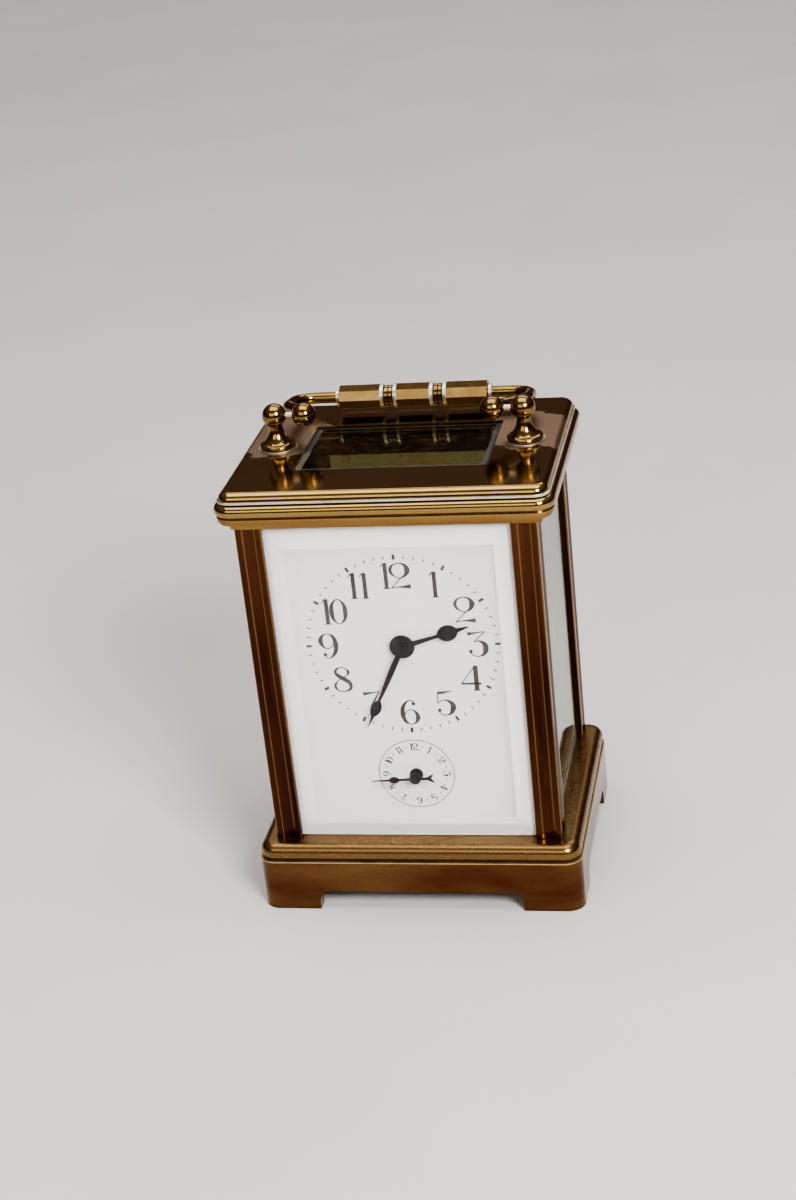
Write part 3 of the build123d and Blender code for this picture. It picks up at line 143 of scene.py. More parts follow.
class Shader:
    """A material's nodes, with a short call for each node that the finishes share."""

    def __init__(self, name):
        self.material = bpy.data.materials.new(name)
        self.material.use_nodes = True
        self.nodes = self.material.node_tree.nodes
        self.nodes.clear()
        self.place = self.node("ShaderNodeTexCoord").outputs["Object"]

    def node(self, kind, inputs=None, **settings):
        """New node with its settings, and its inputs linked or set."""
        made = self.nodes.new(kind)
        for key, value in settings.items():
            setattr(made, key, value)
        for key, value in (inputs or {}).items():
            self.feed(made.inputs[key], value)
        return made

    def feed(self, socket, value):
        """Links a socket to another, or sets its value."""
        if isinstance(value, bpy.types.NodeSocket):
            self.material.node_tree.links.new(value, socket)
        elif isinstance(value, (tuple, list)) and socket.type == "RGBA":
            socket.default_value = (*value, 1)
        else:
            socket.default_value = value

    def noise(self, scale, detail=4.0, rough=0.5, stretch=(1, 1, 1), distortion=0.0):
        """Noise with about scale features a metre, finer along the axes that stretch raises."""
        spread = self.node("ShaderNodeMapping", {"Vector": self.place, "Scale": stretch})
        return self.node("ShaderNodeTexNoise", {
            "Vector": spread.outputs["Vector"], "Scale": scale, "Detail": detail,
            "Roughness": rough, "Distortion": distortion}).outputs["Fac"]

    def ramp(self, value, stops):
        """Colour or grey by value: the two stops are (place, colour) or (place, grey)."""
        made = self.node("ShaderNodeValToRGB", {"Fac": value})
        bar = made.color_ramp.elements
        for stop, (place, colour) in zip(bar, stops):
            stop.position = place
            stop.color = (*colour, 1) if isinstance(colour, tuple) else (colour, colour, colour, 1)
        return made.outputs["Color"]

    def mix(self, share, first, second):
        """Blend of two colours, all second where share is 1."""
        made = self.node("ShaderNodeMix", data_type="RGBA")
        self.feed(made.inputs["Factor"], share)
        self.feed(made.inputs[MIX_FIRST], first)
        self.feed(made.inputs[MIX_SECOND], second)
        return made.outputs[MIX_COLOUR]

    def math(self, operation, first, second):
        """One sum on two numbers."""
        return self.node("ShaderNodeMath", {0: first, 1: second}, operation=operation).outputs[0]

    def scaled(self, first, factor, added):
        """first * factor + added."""
        inputs = {0: first, 1: factor, 2: added}
        return self.node("ShaderNodeMath", inputs, operation="MULTIPLY_ADD").outputs[0]

    def rise(self, value, low, high, reverse=False):
        """0 up to low and 1 from high on, or 1 and 0 when reversed."""
        inputs = {"Value": value, "From Min": low, "From Max": high}
        if reverse:
            inputs.update({"To Min": 1.0, "To Max": 0.0})
        return self.node("ShaderNodeMapRange", inputs).outputs[0]

    def bump(self, height, strength, depth, normal=None):
        """Normal raised by a height map."""
        inputs = {"Height": height, "Strength": strength, "Distance": depth}
        if normal is not None:
            inputs["Normal"] = normal
        return self.node("ShaderNodeBump", inputs).outputs["Normal"]

    def crevice(self, reach, low, high):
        """1 in corners and recesses narrower than reach, 0 on open faces."""
        open_share = self.node("ShaderNodeAmbientOcclusion", {"Distance": reach}, samples=6).outputs["AO"]
        return self.ramp(open_share, [(low, 1.0), (high, 0.0)])

    def height(self):
        """Height above the floor in millimetres."""
        up = self.node("ShaderNodeSeparateXYZ", {"Vector": self.place}).outputs["Z"]
        return self.math("DIVIDE", up, MM)

    def aside(self):
        """Distance to either side of the clock's middle in millimetres."""
        across = self.node("ShaderNodeSeparateXYZ", {"Vector": self.place}).outputs["X"]
        return self.math("DIVIDE", self.math("ABSOLUTE", across, 0.0), MM)

    def steepest(self):
        """Largest part of the surface's direction: 1 on faces square to an axis, less on slanted ones."""
        facing = self.node("ShaderNodeTexCoord").outputs["Normal"]
        parts = self.node("ShaderNodeSeparateXYZ", {"Vector": facing})
        largest = 0.0
        for axis in "XYZ":
            largest = self.math("MAXIMUM", self.math("ABSOLUTE", parts.outputs[axis], 0.0), largest)
        return largest

    def between(self, value, low, high, soft):
        """1 where the value lies between low and high, with soft ends."""
        above = self.rise(value, low - soft, low)
        below = self.rise(value, high, high + soft, reverse=True)
        return self.math("MULTIPLY", above, below)

    def near(self, middle, reach, ragged):
        """1 within reach of a point, in metres, with an edge made ragged by noise."""
        ends = {0: self.place, 1: middle}
        away = self.node("ShaderNodeVectorMath", ends, operation="DISTANCE").outputs["Value"]
        torn = self.scaled(self.noise(95, 5, 0.6), -2.0 * ragged, self.math("ADD", away, ragged))
        return self.rise(torn, reach, reach + 0.9 * MM, reverse=True)

    def finish(self, inputs):
        """Principled surface with these inputs."""
        surface = self.node("ShaderNodeBsdfPrincipled", inputs)
        self.show(surface.outputs["BSDF"])
        return self.material

    def show(self, shader, volume=None):
        """Joins a shader to the output."""
        inputs = {"Surface": shader}
        if volume is not None:
            inputs["Volume"] = volume
        self.node("ShaderNodeOutputMaterial", inputs)


# Noise features a metre along X, Y and Z
ALONG_X = (60, 2600, 2600)
ALONG_Y = (2600, 60, 2600)
ALONG_Z = (2600, 2600, 60)
LEVEL = (60, 60, 2600)
EVEN = (1500, 1500, 1500)
FLAT_STREAKS = (14, 30, 160)
LOW_STREAKS = (22, 30, 90)
TALL_STREAKS = (260, 260, 16)
SHORT_STREAKS = (110, 160, 160)

SILVERY = (0.70, 0.66, 0.58)
PALE_GOLD = (0.60, 0.42, 0.18)
TARNISH_GREY = (0.36, 0.26, 0.21)
# Near-black brown mixed into corners and recesses: painted shade.
CORNER_SHADE = (0.040, 0.022, 0.010)
TARNISH_RAGGED = 7 * MM
UPRIGHT_ARRIS = (0.60, 0.925)  # steepest() on the arrises of the posts, which face between X and Y


def brass(name, gold, patina, share, gloss, grain, streaks, lines=(), tarnish=(), fade=None, satin=0.0,
          rims=None, sideways=False):
    """Old polished brass: brown patina in soft streaks, painted shade in the corners and recesses, wiping
    marks along the grain.

    share is how much the patina covers. lines are (low, high, colour) of pale lines along edges, with
    their heights in millimetres, or their distances from the middle of the clock when sideways is set:
    wear, and on the cornice and plinth partly a painted highlight along the edge.
    tarnish are (point, reach) of grey stains on a level top. fade is the two heights between which the
    patina thins out and the gloss falls by satin: a painted reflection that makes the upper part lighter.
    rims is the colour of upright arrises, painted lighter: partly polishing wear, partly a painted
    highlight.
    """
    s = Shader(name)
    stain = s.ramp(s.noise(1, 4, 0.55, streaks, 0.3), [(0.34, 0.0), (0.66, 1.0)])
    fleck = s.ramp(s.noise(700, 4, 0.7), [(0.50, 0.0), (0.78, 1.0)])
    # Painted shade: this occlusion mask darkens the corners and recesses below.
    corner_shade = s.crevice(2.0 * MM, 0.35, 0.75)
    marks = s.noise(1, 3, 0.6, grain)
    tall = s.height()

    amount = s.scaled(stain, 0.6, 0.4)
    thin = 0.0
    # Painted reflection: above the fade heights the patina is thinned, so the upper part is painted lighter.
    if fade:
        thin = s.rise(tall, *fade)
        amount = s.math("MULTIPLY", amount, s.scaled(thin, -0.7, 1.0))
    colour = s.mix(s.math("MULTIPLY", amount, share), gold, patina)
    fleck_brown = tuple(0.6 * part for part in patina)
    colour = s.mix(s.math("MULTIPLY", fleck, 0.22), colour, fleck_brown)
    rough = s.scaled(stain, 0.06, gloss)
    rough = s.scaled(thin, satin, rough)
    rough = s.scaled(fleck, 0.08, rough)
    rough = s.scaled(marks, 0.05, rough)

    # Upright arrises painted lighter: partly polishing wear, partly a painted highlight.
    if rims:
        arris = s.between(s.steepest(), *UPRIGHT_ARRIS, 0.03)
        colour = s.mix(s.math("MULTIPLY", arris, 0.75), colour, rims)
    for middle, reach in tarnish:
        top = middle[2] / MM
        on_top = s.between(tall, top - 0.9, top + 1.0, 0.4)
        grey = s.math("MULTIPLY", s.near(middle, reach, TARNISH_RAGGED), s.math("MULTIPLY", on_top, 0.72))
        colour = s.mix(grey, colour, TARNISH_GREY)
        rough = s.scaled(grey, 0.30, rough)
    # Pale lines: wear on the grip's rings and edges, and along the cornice and plinth edges partly a painted
    # highlight.
    for low, high, line_colour in lines:
        wear_and_glint = s.between(s.aside() if sideways else tall, low, high, 0.12)
        wear_and_glint = s.math("MULTIPLY", wear_and_glint, s.ramp(s.noise(60, 5, 0.7), [(0.30, 0.45), (0.5, 1.0)]))
        colour = s.mix(wear_and_glint, colour, line_colour)
        rough = s.scaled(wear_and_glint, 0.22, rough)
    # Painted shade: the corners and recesses are darkened towards near-black brown.
    colour = s.mix(s.math("MULTIPLY", corner_shade, 0.7), colour, CORNER_SHADE)
    rough = s.scaled(corner_shade, 0.30, rough)
    relief = s.bump(marks, 0.06, 0.02 * MM)
    relief = s.bump(s.noise(90, 2, 0.4), 0.035, 0.25 * MM, relief)
    return s.finish({"Base Color": colour, "Metallic": 1.0, "Roughness": rough, "Normal": relief})


def plain_metal(name, colour, shade, gloss, grain, relief=0.2):
    """Machined metal: fine turning or graining lines, faint clouding, and painted shade darkening the
    corners.
    """
    s = Shader(name)
    cloud = s.noise(160, 4, 0.6)
    lines = s.noise(1, 2, 0.6, grain)
    corner_shade = s.crevice(1.2 * MM, 0.3, 0.8)
    tone = s.mix(s.ramp(cloud, [(0.35, 0.0), (0.7, 1.0)]), colour, shade)
    # Painted shade: corners and recesses are darkened towards a dark brown.
    painted_shade_brown = tuple(0.18 * part for part in shade)
    tone = s.mix(s.math("MULTIPLY", corner_shade, 0.5), tone, painted_shade_brown)
    rough = s.scaled(lines, 0.18, gloss)
    rough = s.math("ADD", rough, s.math("MULTIPLY", cloud, 0.08))
    return s.finish({"Base Color": tone, "Metallic": 1.0, "Roughness": rough,
                     "Normal": s.bump(lines, relief, 0.015 * MM)})


SLANTED_GLASS = (0.90, 0.9935)  # steepest() on the panes' bevels
# White mixed onto the glass bevels as a bright band: a painted highlight.
BEVEL_BAND_WHITE = (0.92, 0.93, 0.92)


def clear_glass(name, clear, bevel_band, bend):
    """Old plate glass, faintly green through its edges, with faint dust, and white painted on the slanted
    bevels as a bright band: a painted highlight.
    """
    s = Shader(name)
    dust = s.ramp(s.noise(420, 6, 0.75), [(0.5, 0.0), (0.85, 0.03)])
    # Painted highlight: the slanted bevels are mixed towards white diffuse, most on the front pane.
    slanted = s.between(s.steepest(), *SLANTED_GLASS, 0.002)
    dust_and_band = s.math("ADD", dust, s.math("MULTIPLY", slanted, bevel_band))
    body = s.node("ShaderNodeBsdfGlass", {"Color": clear, "Roughness": 0.0, "IOR": bend})
    band = s.node("ShaderNodeBsdfDiffuse", {"Color": BEVEL_BAND_WHITE})
    dust_and_band_shader = s.node("ShaderNodeMixShader", {0: dust_and_band, 1: body.outputs[0], 2: band.outputs[0]})
    open_way = s.node("ShaderNodeBsdfTransparent", {"Color": clear})
    lamp_ray = s.node("ShaderNodeLightPath").outputs["Is Shadow Ray"]
    both = s.node("ShaderNodeMixShader", {0: lamp_ray, 1: dust_and_band_shader.outputs[0], 2: open_way.outputs[0]})
    tint = s.node("ShaderNodeVolumeAbsorption", {"Color": (0.55, 0.86, 0.72), "Density": 14.0})
    s.show(both.outputs[0], tint.outputs[0])
    return s.material


def dial_enamel(name):
    """Fired white enamel: even, glossy, faintly warm, with a soft orange-peel surface."""
    s = Shader(name)
    tone = s.ramp(s.noise(45, 4, 0.6), [(0.35, (0.665, 0.642, 0.638)), (0.7, (0.70, 0.678, 0.675))])
    fleck = s.ramp(s.noise(1500, 3, 0.7), [(0.7, 0.0), (0.82, 1.0)])
    tone = s.mix(s.math("MULTIPLY", fleck, 0.10), tone, (0.45, 0.38, 0.30))
    relief = s.bump(s.noise(350, 2, 0.4), 0.05, 0.05 * MM)
    return s.finish({"Base Color": tone, "Roughness": 0.16, "Normal": relief, "Coat Weight": 0.6,
                     "Coat Roughness": 0.04})


def dial_ink(name):
    """Black enamel paint, a little thin and brown at places."""
    s = Shader(name)
    tone = s.ramp(s.noise(700, 4, 0.6), [(0.4, (0.012, 0.010, 0.010)), (0.75, (0.045, 0.034, 0.028))])
    return s.finish({"Base Color": tone, "Roughness": 0.32, "Coat Weight": 0.4})


# Millimetres below the cornice's top, or heights and distances from the middle
PLINTH_DROP = 102.8
# The cornice is painted lighter above its step: a painted reflection.
CORNICE_STEP = (6.8, 6.2)
CORNICE_LINE = (2.6, 2.1)
PLINTH_LINE = 0.22
# The plinth's moulding and the tops of the posts are painted lighter: a painted reflection.
PLINTH_FADE = 1.5
POST_FADE = (70, 112)
RING_PLACES = ((4.45, 5.25), (7.95, 8.75))
GRIP_END_RING = 0.6
STAIN_BEHIND_POST, STAIN_REACH = 7 * MM, 13 * MM


def make_finishes():
    """Every material, by the name of its group of pieces."""
    cornice_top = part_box("cornice")[1].z / MM
    plinth_top = cornice_top - PLINTH_DROP
    posts = [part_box(f"handle_post_{side}") for side in ("left", "right")]
    feet = [Vector(((low.x + high.x) / 2, 0, cornice_top * MM)) for low, high in posts]
    stains = [(tuple(foot + Vector((0, STAIN_BEHIND_POST, 0))), STAIN_REACH) for foot in feet]
    grip_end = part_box("handle_grip")[1].x / MM
    ring_places = [*RING_PLACES, (grip_end - GRIP_END_RING, grip_end)]
    rings = [(low, high, SILVERY) for low, high in ring_places]
    # Silvery line near the cornice's top: partly wear, partly a painted highlight along the edge.
    cornice_line = (cornice_top - CORNICE_LINE[0], cornice_top - CORNICE_LINE[1], SILVERY)
    return {
        "cornice": brass("brass_cornice", (0.35, 0.245, 0.088), (0.20, 0.090, 0.032), 0.85, 0.05, ALONG_X,
                         FLAT_STREAKS, lines=[cornice_line], tarnish=stains,
                         fade=(cornice_top - CORNICE_STEP[0], cornice_top - CORNICE_STEP[1])),
        # The plinth's brass is painted dark brown: partly patina, partly painted shade standing for its dark
        # reflections.
        "plinth": brass("brass_plinth", (0.225, 0.140, 0.054), (0.074, 0.017, 0.008), 0.95, 0.11, LEVEL,
                        # Pale gold line at the plinth's top: partly wear, partly a painted highlight along
                        # the edge.
                        LOW_STREAKS, lines=[(plinth_top - PLINTH_LINE, plinth_top, PALE_GOLD)],
                        fade=(plinth_top, plinth_top + PLINTH_FADE), satin=0.10),
        # The posts' brass is painted near-black brown: partly patina, partly painted shade standing for
        # their dark reflections.
        "post": brass("brass_post", (0.105, 0.040, 0.017), (0.026, 0.007, 0.005), 1.0, 0.10, ALONG_Z,
                      # The posts' arrises are painted lighter: partly wear, partly a painted highlight.
                      TALL_STREAKS, fade=POST_FADE, rims=(0.24, 0.135, 0.050)),
        "door": brass("brass_door", (0.44, 0.29, 0.095), (0.22, 0.10, 0.035), 0.8, 0.12, ALONG_Z,
                      TALL_STREAKS),
        "handle": brass("brass_handle", (0.31, 0.215, 0.078), (0.16, 0.090, 0.033), 0.8, 0.09, ALONG_X,
                        SHORT_STREAKS, lines=rings, sideways=True),
        "washer": plain_metal("worn_washer", SILVERY, (0.46, 0.41, 0.34), 0.30, EVEN),
        "glass": clear_glass("pane_glass", (0.95, 0.98, 0.96), bevel_band=0.10, bend=1.36),
        "front_pane": clear_glass("front_glass", (0.985, 0.98, 0.98), bevel_band=0.72, bend=1.28),
        # Dark olive tint on the top pane: painted shade, darkening what is seen through it.
        "top_pane": clear_glass("top_glass", (0.42, 0.38, 0.24), bevel_band=0.05, bend=1.85),
        "enamel": dial_enamel("dial_enamel"),
        "ink": dial_ink("dial_ink"),
        "blue": plain_metal("blued_steel", (0.030, 0.018, 0.020), (0.018, 0.013, 0.022), 0.20, ALONG_X,
                            relief=0.1),
        "gilt": plain_metal("gilt_brass", (0.60, 0.40, 0.15), (0.46, 0.28, 0.10), 0.24, ALONG_Z),
        "wheel": plain_metal("wheel_brass", (0.66, 0.46, 0.18), (0.52, 0.34, 0.12), 0.20, EVEN),
        "silver": plain_metal("silvered_metal", (0.66, 0.63, 0.57), (0.52, 0.48, 0.42), 0.24, ALONG_Y),
        "steel": plain_metal("bright_steel", (0.52, 0.52, 0.53), (0.38, 0.37, 0.37), 0.18, EVEN),
        "bell": plain_metal("bell_metal", (0.56, 0.46, 0.28), (0.42, 0.31, 0.16), 0.30, EVEN),
    }


NODES_OF = {
    "cornice": ["cornice"],
    "plinth": ["base_plinth"],
    "post": ["post_front_left", "post_front_right", "post_rear_left", "post_rear_right"],
    "door": ["rear_door", "door_knob", "door_hinge_pins"],
    "handle": ["handle_post_left", "handle_post_right", "handle_arm_left", "handle_arm_right",
               "handle_grip"],
    "washer": ["handle_washers", "handle_pins"],
    "glass": ["left_glass", "right_glass", "door_glass"],
    "front_pane": ["front_glass"],
    "top_pane": ["top_glass"],
    "enamel": ["dial_plate"],
    "blue": ["minute_hand", "hour_hand", "alarm_hand", "hairspring", "centre_arbor",
             "alarm_setting_arbor"],
    "gilt": ["front_plate", "back_plate", "plate_pillars", "barrel", "barrel_cap"],
    "wheel": ["centre_wheel", "third_wheel", "contrate_wheel", "hour_wheel", "minute_wheel",
              "alarm_idler", "alarm_wheel", "alarm_barrel", "alarm_verge_wheel", "balance_wheel"],
    "silver": ["platform", "balance_cock", "escapement_bridge"],
    "steel": ["base_screws", "handle_nuts", "plate_nuts", "platform_screws", "cannon_pinion",
              "winding_arbor", "alarm_winding_arbor", "click", "mainspring", "escape_wheel", "lever",
              "alarm_hammer", "bell_screw"],
    "bell": ["bell"],
}


def give_finishes(finishes):
    """Puts each material on its pieces."""
    for group, names in NODES_OF.items():
        for name in names:
            slots = frame["nodes"][name].data.materials
            slots.clear()
            slots.append(finishes[group])


# ---------------------------------------------------------------- rounded edges
EDGE_OF = {
    "cornice": 0.22, "plinth": 0.30, "post": 0.16, "door": 0.16, "washer": 0.05, "enamel": 0.12,
    "blue": 0.04, "gilt": 0.10, "wheel": 0.03, "silver": 0.08, "steel": 0.03,
}  # width of the broken edge in millimetres; the other groups keep their edges
SHARP_TURN = 28.0  # degrees
FLAT_TURN = 0.6
WELD_REACH = 0.002 * MM


def clean_up_nodes():
    """Geometry nodes that join split edges, drop stored normals and shade every face smooth."""
    tree = bpy.data.node_groups.new("join_and_smooth", "GeometryNodeTree")
    tree.interface.new_socket("Geometry", in_out="INPUT", socket_type="NodeSocketGeometry")
    tree.interface.new_socket("Geometry", in_out="OUTPUT", socket_type="NodeSocketGeometry")
    link = tree.links.new
    start = tree.nodes.new("NodeGroupInput")
    drop = tree.nodes.new("GeometryNodeRemoveAttribute")
    drop.inputs["Name"].default_value = "custom_normal"
    weld = tree.nodes.new("GeometryNodeMergeByDistance")
    weld.inputs["Distance"].default_value = WELD_REACH
    smooth = tree.nodes.new("GeometryNodeSetShadeSmooth")
    end = tree.nodes.new("NodeGroupOutput")
    link(start.outputs[0], drop.inputs["Geometry"])
    link(drop.outputs[0], weld.inputs["Geometry"])
    link(weld.outputs[0], smooth.inputs["Geometry"])
    link(smooth.outputs[0], end.inputs[0])
    return tree


def round_edges():
    """Breaks the sharp edges of the metal and the dial, as polishing does."""
    clean_up = clean_up_nodes()
    for group, width in EDGE_OF.items():
        for name in NODES_OF[group]:
            node = frame["nodes"][name]
            node.modifiers.new("join", "NODES").node_group = clean_up
            flat = node.modifiers.new("flat", "DECIMATE")
            flat.decimate_type = "DISSOLVE"
            flat.angle_limit = radians(FLAT_TURN)
            edge = node.modifiers.new("edge", "BEVEL")
            edge.width = width * MM
            edge.segments = 2
            edge.limit_method = "ANGLE"
            edge.angle_limit = radians(SHARP_TURN)
            edge.use_clamp_overlap = True
            weighted = node.modifiers.new("shade", "WEIGHTED_NORMAL")
            weighted.keep_sharp = False
            weighted.weight = 60


# ---------------------------------------------------------------- printing on the dial
THICK, HAIR = 0.145, 0.026  # pen widths, with the figure's height as 1
BOLD, BOLD_SMALL = 1.2, 1.5  # pen widths grow by this
FINEST, FINEST_SMALL = 0.040, 0.09  # thinnest line, with the figure's height as 1
FIGURE_HEIGHT = 7.1 * MM
FIGURE_RADIUS = 19.2 * MM
RING_RADIUS = 24.3 * MM
ALARM_RING_RADIUS = 9.87 * MM
ALARM_FIGURE_HEIGHT = 2.0 * MM
ALARM_FIGURE_RADIUS = 8.0 * MM
HOUR_MARK = (1.45 * MM, 0.72 * MM)  # length along the radius, width
MINUTE_MARK = (0.85 * MM, 0.30 * MM)
ALARM_RING_WIDTH = 0.20 * MM
ALARM_DOT_RADIUS = 0.20 * MM
INK_DEPTH = 0.03 * MM

# Each figure's width, its pen strokes as (across, up, pen width) along each stroke, and its blobs as
# (across, up, radius), all with the figure's height as 1
SIX_WIDTH = 0.69
SIX = [
    [(0.53, 0.88, 0.04), (0.44, 0.975, HAIR), (0.28, 0.95, 0.05), (0.11, 0.72, 0.12), (0.075, 0.42, THICK),
     (0.15, 0.14, 0.10), (0.34, 0.015, HAIR), (0.53, 0.09, 0.07), (0.62, 0.29, THICK), (0.56, 0.50, 0.08),
     (0.41, 0.60, HAIR), (0.25, 0.55, HAIR), (0.13, 0.38, HAIR)],
]
FIGURES = {
    "0": (0.64, [[(0.32, 0.985, HAIR), (0.12, 0.80, 0.09), (0.07, 0.50, THICK), (0.12, 0.20, 0.09),
                  (0.32, 0.015, HAIR), (0.52, 0.20, 0.09), (0.57, 0.50, THICK), (0.52, 0.80, 0.09),
                  (0.32, 0.985, HAIR)]], []),
    "1": (0.36, [[(0.20, 1.0, 0.125), (0.20, 0.0, 0.125)],
                 [(0.17, 0.975, 0.05), (0.10, 0.93, 0.03), (0.03, 0.84, HAIR)],
                 [(0.07, 0.013, HAIR), (0.33, 0.013, HAIR)]], []),
    "2": (0.77, [[(0.38, 0.985, HAIR), (0.18, 0.92, 0.05), (0.075, 0.77, 0.10), (0.10, 0.60, 0.08),
                  (0.24, 0.46, 0.035), (0.42, 0.40, HAIR)],
                 [(0.38, 0.985, HAIR), (0.58, 0.92, 0.08), (0.675, 0.73, 0.165), (0.60, 0.53, 0.10),
                  (0.42, 0.40, 0.035), (0.22, 0.20, HAIR), (0.06, 0.03, HAIR)],
                 [(0.05, 0.02, HAIR), (0.28, 0.065, 0.04), (0.52, 0.07, 0.08), (0.76, 0.085, 0.15)]], []),
    "3": (0.72, [[(0.02, 0.90, 0.13), (0.20, 0.925, 0.075), (0.42, 0.955, 0.04), (0.64, 0.985, HAIR)],
                 [(0.64, 0.985, HAIR), (0.24, 0.60, HAIR)],
                 [(0.24, 0.60, HAIR), (0.44, 0.61, 0.06), (0.61, 0.48, 0.15), (0.635, 0.29, 0.17),
                  (0.55, 0.10, 0.10), (0.36, 0.015, HAIR), (0.17, 0.06, HAIR), (0.06, 0.18, 0.05)]],
          [(0.095, 0.215, 0.07)]),
    "4": (0.74, [[(0.56, 1.0, THICK), (0.56, 0.0, THICK)], [(0.54, 0.985, HAIR), (0.02, 0.29, HAIR)],
                 [(0.0, 0.285, 0.07), (0.74, 0.285, 0.07)], [(0.44, 0.02, 0.04), (0.68, 0.02, 0.04)]], []),
    "5": (0.66, [[(0.06, 0.915, 0.10), (0.22, 0.925, 0.09), (0.40, 0.955, 0.05), (0.56, 0.995, HAIR)],
                 [(0.055, 0.95, 0.035), (0.035, 0.50, HAIR)],
                 [(0.035, 0.50, HAIR), (0.18, 0.61, 0.03), (0.38, 0.61, 0.06), (0.56, 0.46, 0.15),
                  (0.575, 0.28, 0.165), (0.48, 0.09, 0.09), (0.30, 0.015, HAIR), (0.13, 0.06, HAIR),
                  (0.04, 0.18, 0.05)]],
          [(0.075, 0.215, 0.07)]),
    "6": (SIX_WIDTH, SIX, [(0.50, 0.845, 0.07)]),
    "7": (0.64, [[(0.02, 0.90, 0.13), (0.20, 0.925, 0.08), (0.42, 0.955, 0.045), (0.62, 0.985, HAIR)],
                 [(0.62, 0.985, HAIR), (0.44, 0.68, 0.05), (0.31, 0.36, 0.11), (0.28, 0.0, 0.15)]], []),
    "8": (0.70, [[(0.52, 0.92, 0.04), (0.35, 0.985, HAIR), (0.16, 0.91, 0.07), (0.12, 0.76, 0.10),
                  (0.25, 0.62, 0.13), (0.45, 0.49, 0.14), (0.615, 0.34, 0.12), (0.60, 0.12, 0.09),
                  (0.36, 0.015, HAIR),
                  (0.13, 0.08, 0.05), (0.06, 0.25, 0.08), (0.16, 0.43, 0.04), (0.33, 0.56, HAIR),
                  (0.52, 0.66, 0.035), (0.585, 0.80, 0.09), (0.52, 0.92, 0.04)]], []),
    "9": (SIX_WIDTH, [[(SIX_WIDTH - x, 1 - y, pen) for x, y, pen in stroke] for stroke in SIX],
          [(0.19, 0.155, 0.07)]),
}
ADVANCE = {"10": 0.30, "11": 0.41, "12": 0.31}  # from the first figure's left to the second's
SHORT_STEPS = 6  # straight parts of a curve between two of its points


def smooth_stroke(points):
    """Points along a Catmull-Rom curve through the stroke, or the two ends of a straight one."""
    if len(points) == 2:
        return [Vector(p) for p in points]
    if points[0][:2] == points[-1][:2]:
        before, after = points[-2], points[1]
    else:
        before, after = points[0], points[-1]
    held = [Vector(p) for p in (before, *points, after)]
    made = []
    for a, b, c, d in zip(held, held[1:], held[2:], held[3:]):
        for step in range(SHORT_STEPS):
            t = step / SHORT_STEPS
            made.append(0.5 * (2 * b + (c - a) * t + (2 * a - 5 * b + 4 * c - d) * t ** 2
                               + (3 * b - a - 3 * c + d) * t ** 3))
    made.append(held[-2])
    return made


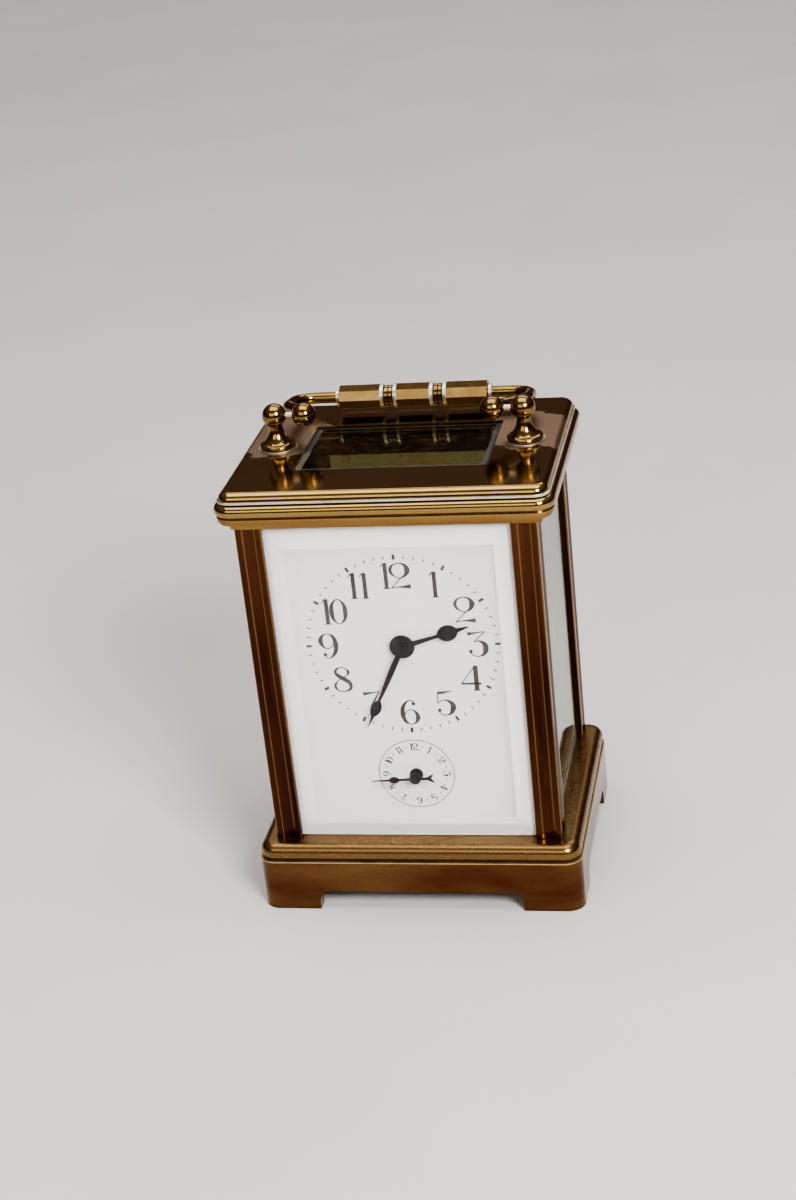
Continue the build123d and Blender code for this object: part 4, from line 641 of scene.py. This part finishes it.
class Print:
    """Flat ink on the dial, raised by its own thickness. Points are (across, up) from the dial's middle."""

    def __init__(self, front, ink, bold=BOLD):
        self.shape = bmesh.new()
        self.front = front
        self.ink = ink
        self.bold = bold

    def seat(self, place, lift):
        """Dial place as a point in space."""
        return place.x, self.front - lift, place.y

    def slab(self, outline):
        """Closed thin plate with this outline."""
        layers = [[self.shape.verts.new(self.seat(p, lift)) for p in outline] for lift in (0, INK_DEPTH)]
        self.shape.faces.new(layers[0])
        self.shape.faces.new(layers[1][::-1])
        count = len(outline)
        for i in range(count):
            j = (i + 1) % count
            self.shape.faces.new((layers[0][i], layers[1][i], layers[1][j], layers[0][j]))

    def stroke(self, points, to_dial, least):
        """Pen stroke no thinner than least: one plate from its left and right edges."""
        line = smooth_stroke(points)
        sides = []
        for i, p in enumerate(line):
            run = line[min(i + 1, len(line) - 1)] - line[max(i - 1, 0)]
            across = Vector((-run.y, run.x)).normalized() * max(p.z * self.bold, least) / 2
            sides.append((Vector((p.x, p.y)) + across, Vector((p.x, p.y)) - across))
        loop = [[self.shape.verts.new(self.seat(to_dial(side), lift))
                 for side in pair for lift in (0, INK_DEPTH)] for pair in sides]
        for (a, b, c, d), (e, f, g, h) in zip(loop, loop[1:]):
            for corners in ((b, d, h, f), (a, e, g, c), (a, b, f, e), (c, g, h, d)):
                self.shape.faces.new(corners)
        for end in (loop[0], loop[-1]):
            self.shape.faces.new((end[0], end[1], end[3], end[2]))

    def blob(self, middle, radius, to_dial, corners=20):
        """Round dot."""
        angles = [tau * i / corners for i in range(corners)]
        self.slab([to_dial(Vector(middle) + radius * Vector((cos(angle), sin(angle)))) for angle in angles])

    def figure(self, text, middle, height, turn=0.0, least=FINEST):
        """Number centred at a place, turned clockwise by turn."""
        starts, width = [], 0.0
        for i, letter in enumerate(text):
            starts.append(width)
            width += ADVANCE[text] if i + 1 < len(text) else FIGURES[letter][0]
        spin = Matrix.Rotation(-turn, 2)
        for letter, start in zip(text, starts):
            offset = Vector((start - width / 2, -0.5))

            def to_dial(p, offset=offset):
                return Vector(middle) + spin @ ((Vector((p.x, p.y)) + offset) * height)

            for points in FIGURES[letter][1]:
                self.stroke(points, to_dial, least)
            for x, y, radius in FIGURES[letter][2]:
                self.blob((x, y), radius, to_dial)

    def dash(self, centre, radius, angle, length, width):
        """Short mark along a radius."""
        out = Vector((sin(angle), cos(angle)))
        side = Vector((out.y, -out.x))
        middle = Vector(centre) + radius * out
        self.slab([middle + sx * side * width / 2 + sy * out * length / 2
                   for sx, sy in ((-1, -1), (1, -1), (1, 1), (-1, 1))])

    def ring(self, centre, radius, width, corners=144):
        """Thin circle line."""
        loops = []
        for i in range(corners):
            way = Vector((sin(tau * i / corners), cos(tau * i / corners)))
            edge = [Vector(centre) + way * (radius + side * width / 2) for side in (-1, 1)]
            loops.append([self.shape.verts.new(self.seat(p, lift)) for p in edge for lift in (0, INK_DEPTH)])
        for (a, b, c, d), (e, f, g, h) in zip(loops, loops[1:] + loops[:1]):
            for face in ((b, d, h, f), (a, e, g, c), (a, b, f, e), (c, g, h, d)):
                self.shape.faces.new(face)

    def piece(self, name):
        """The ink as one object on the dial."""
        bmesh.ops.recalc_face_normals(self.shape, faces=self.shape.faces)
        mesh = bpy.data.meshes.new(name)
        self.shape.to_mesh(mesh)
        self.shape.free()
        mesh.materials.append(self.ink)
        made = bpy.data.objects.new(name, mesh)
        scene.collection.objects.link(made)
        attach(made, "root")


def joint_place(name):
    """Where a joint's axis crosses the dial, as (across, up)."""
    joint = next(j for j in frame["joints"] if j["name"] == name)
    return joint["pos_m"][0], joint["pos_m"][2]


def print_dial(ink):
    """Hour figures, minute track and the alarm's small dial."""
    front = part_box("dial_plate")[0].y
    centre = joint_place("minute_turn")
    alarm = joint_place("alarm_set_turn")
    figures = Print(front, ink)
    for hour in range(1, 13):
        angle = tau * hour / 12
        middle = Vector(centre) + FIGURE_RADIUS * Vector((sin(angle), cos(angle)))
        figures.figure(str(hour), middle, FIGURE_HEIGHT)
    figures.piece("hour_figures")
    track = Print(front, ink)
    for minute in range(60):
        length, width = HOUR_MARK if minute % 5 == 0 else MINUTE_MARK
        track.dash(centre, RING_RADIUS, tau * minute / 60, length, width)
    track.piece("minute_track")
    small = Print(front, ink, BOLD_SMALL)
    small.ring(alarm, ALARM_RING_RADIUS, ALARM_RING_WIDTH)
    for hour in range(1, 13):
        angle = tau * hour / 12
        middle = Vector(alarm) + ALARM_FIGURE_RADIUS * Vector((sin(angle), cos(angle)))
        small.figure(str(hour), middle, ALARM_FIGURE_HEIGHT, angle, least=FINEST_SMALL)
        between = angle + pi / 12
        spot = Vector(alarm) + ALARM_FIGURE_RADIUS * Vector((sin(between), cos(between)))
        small.blob(spot, ALARM_DOT_RADIUS, lambda p: p, corners=12)
    small.piece("alarm_figures")


# ---------------------------------------------------------------- the clock
finishes = make_finishes()
give_finishes(finishes)
round_edges()
print_dial(finishes["ink"])
make_stage()
make_camera()
scene.view_settings.view_transform = "AgX"
scene.view_settings.look = "AgX - Medium High Contrast"
scene.view_settings.exposure = EXPOSURE
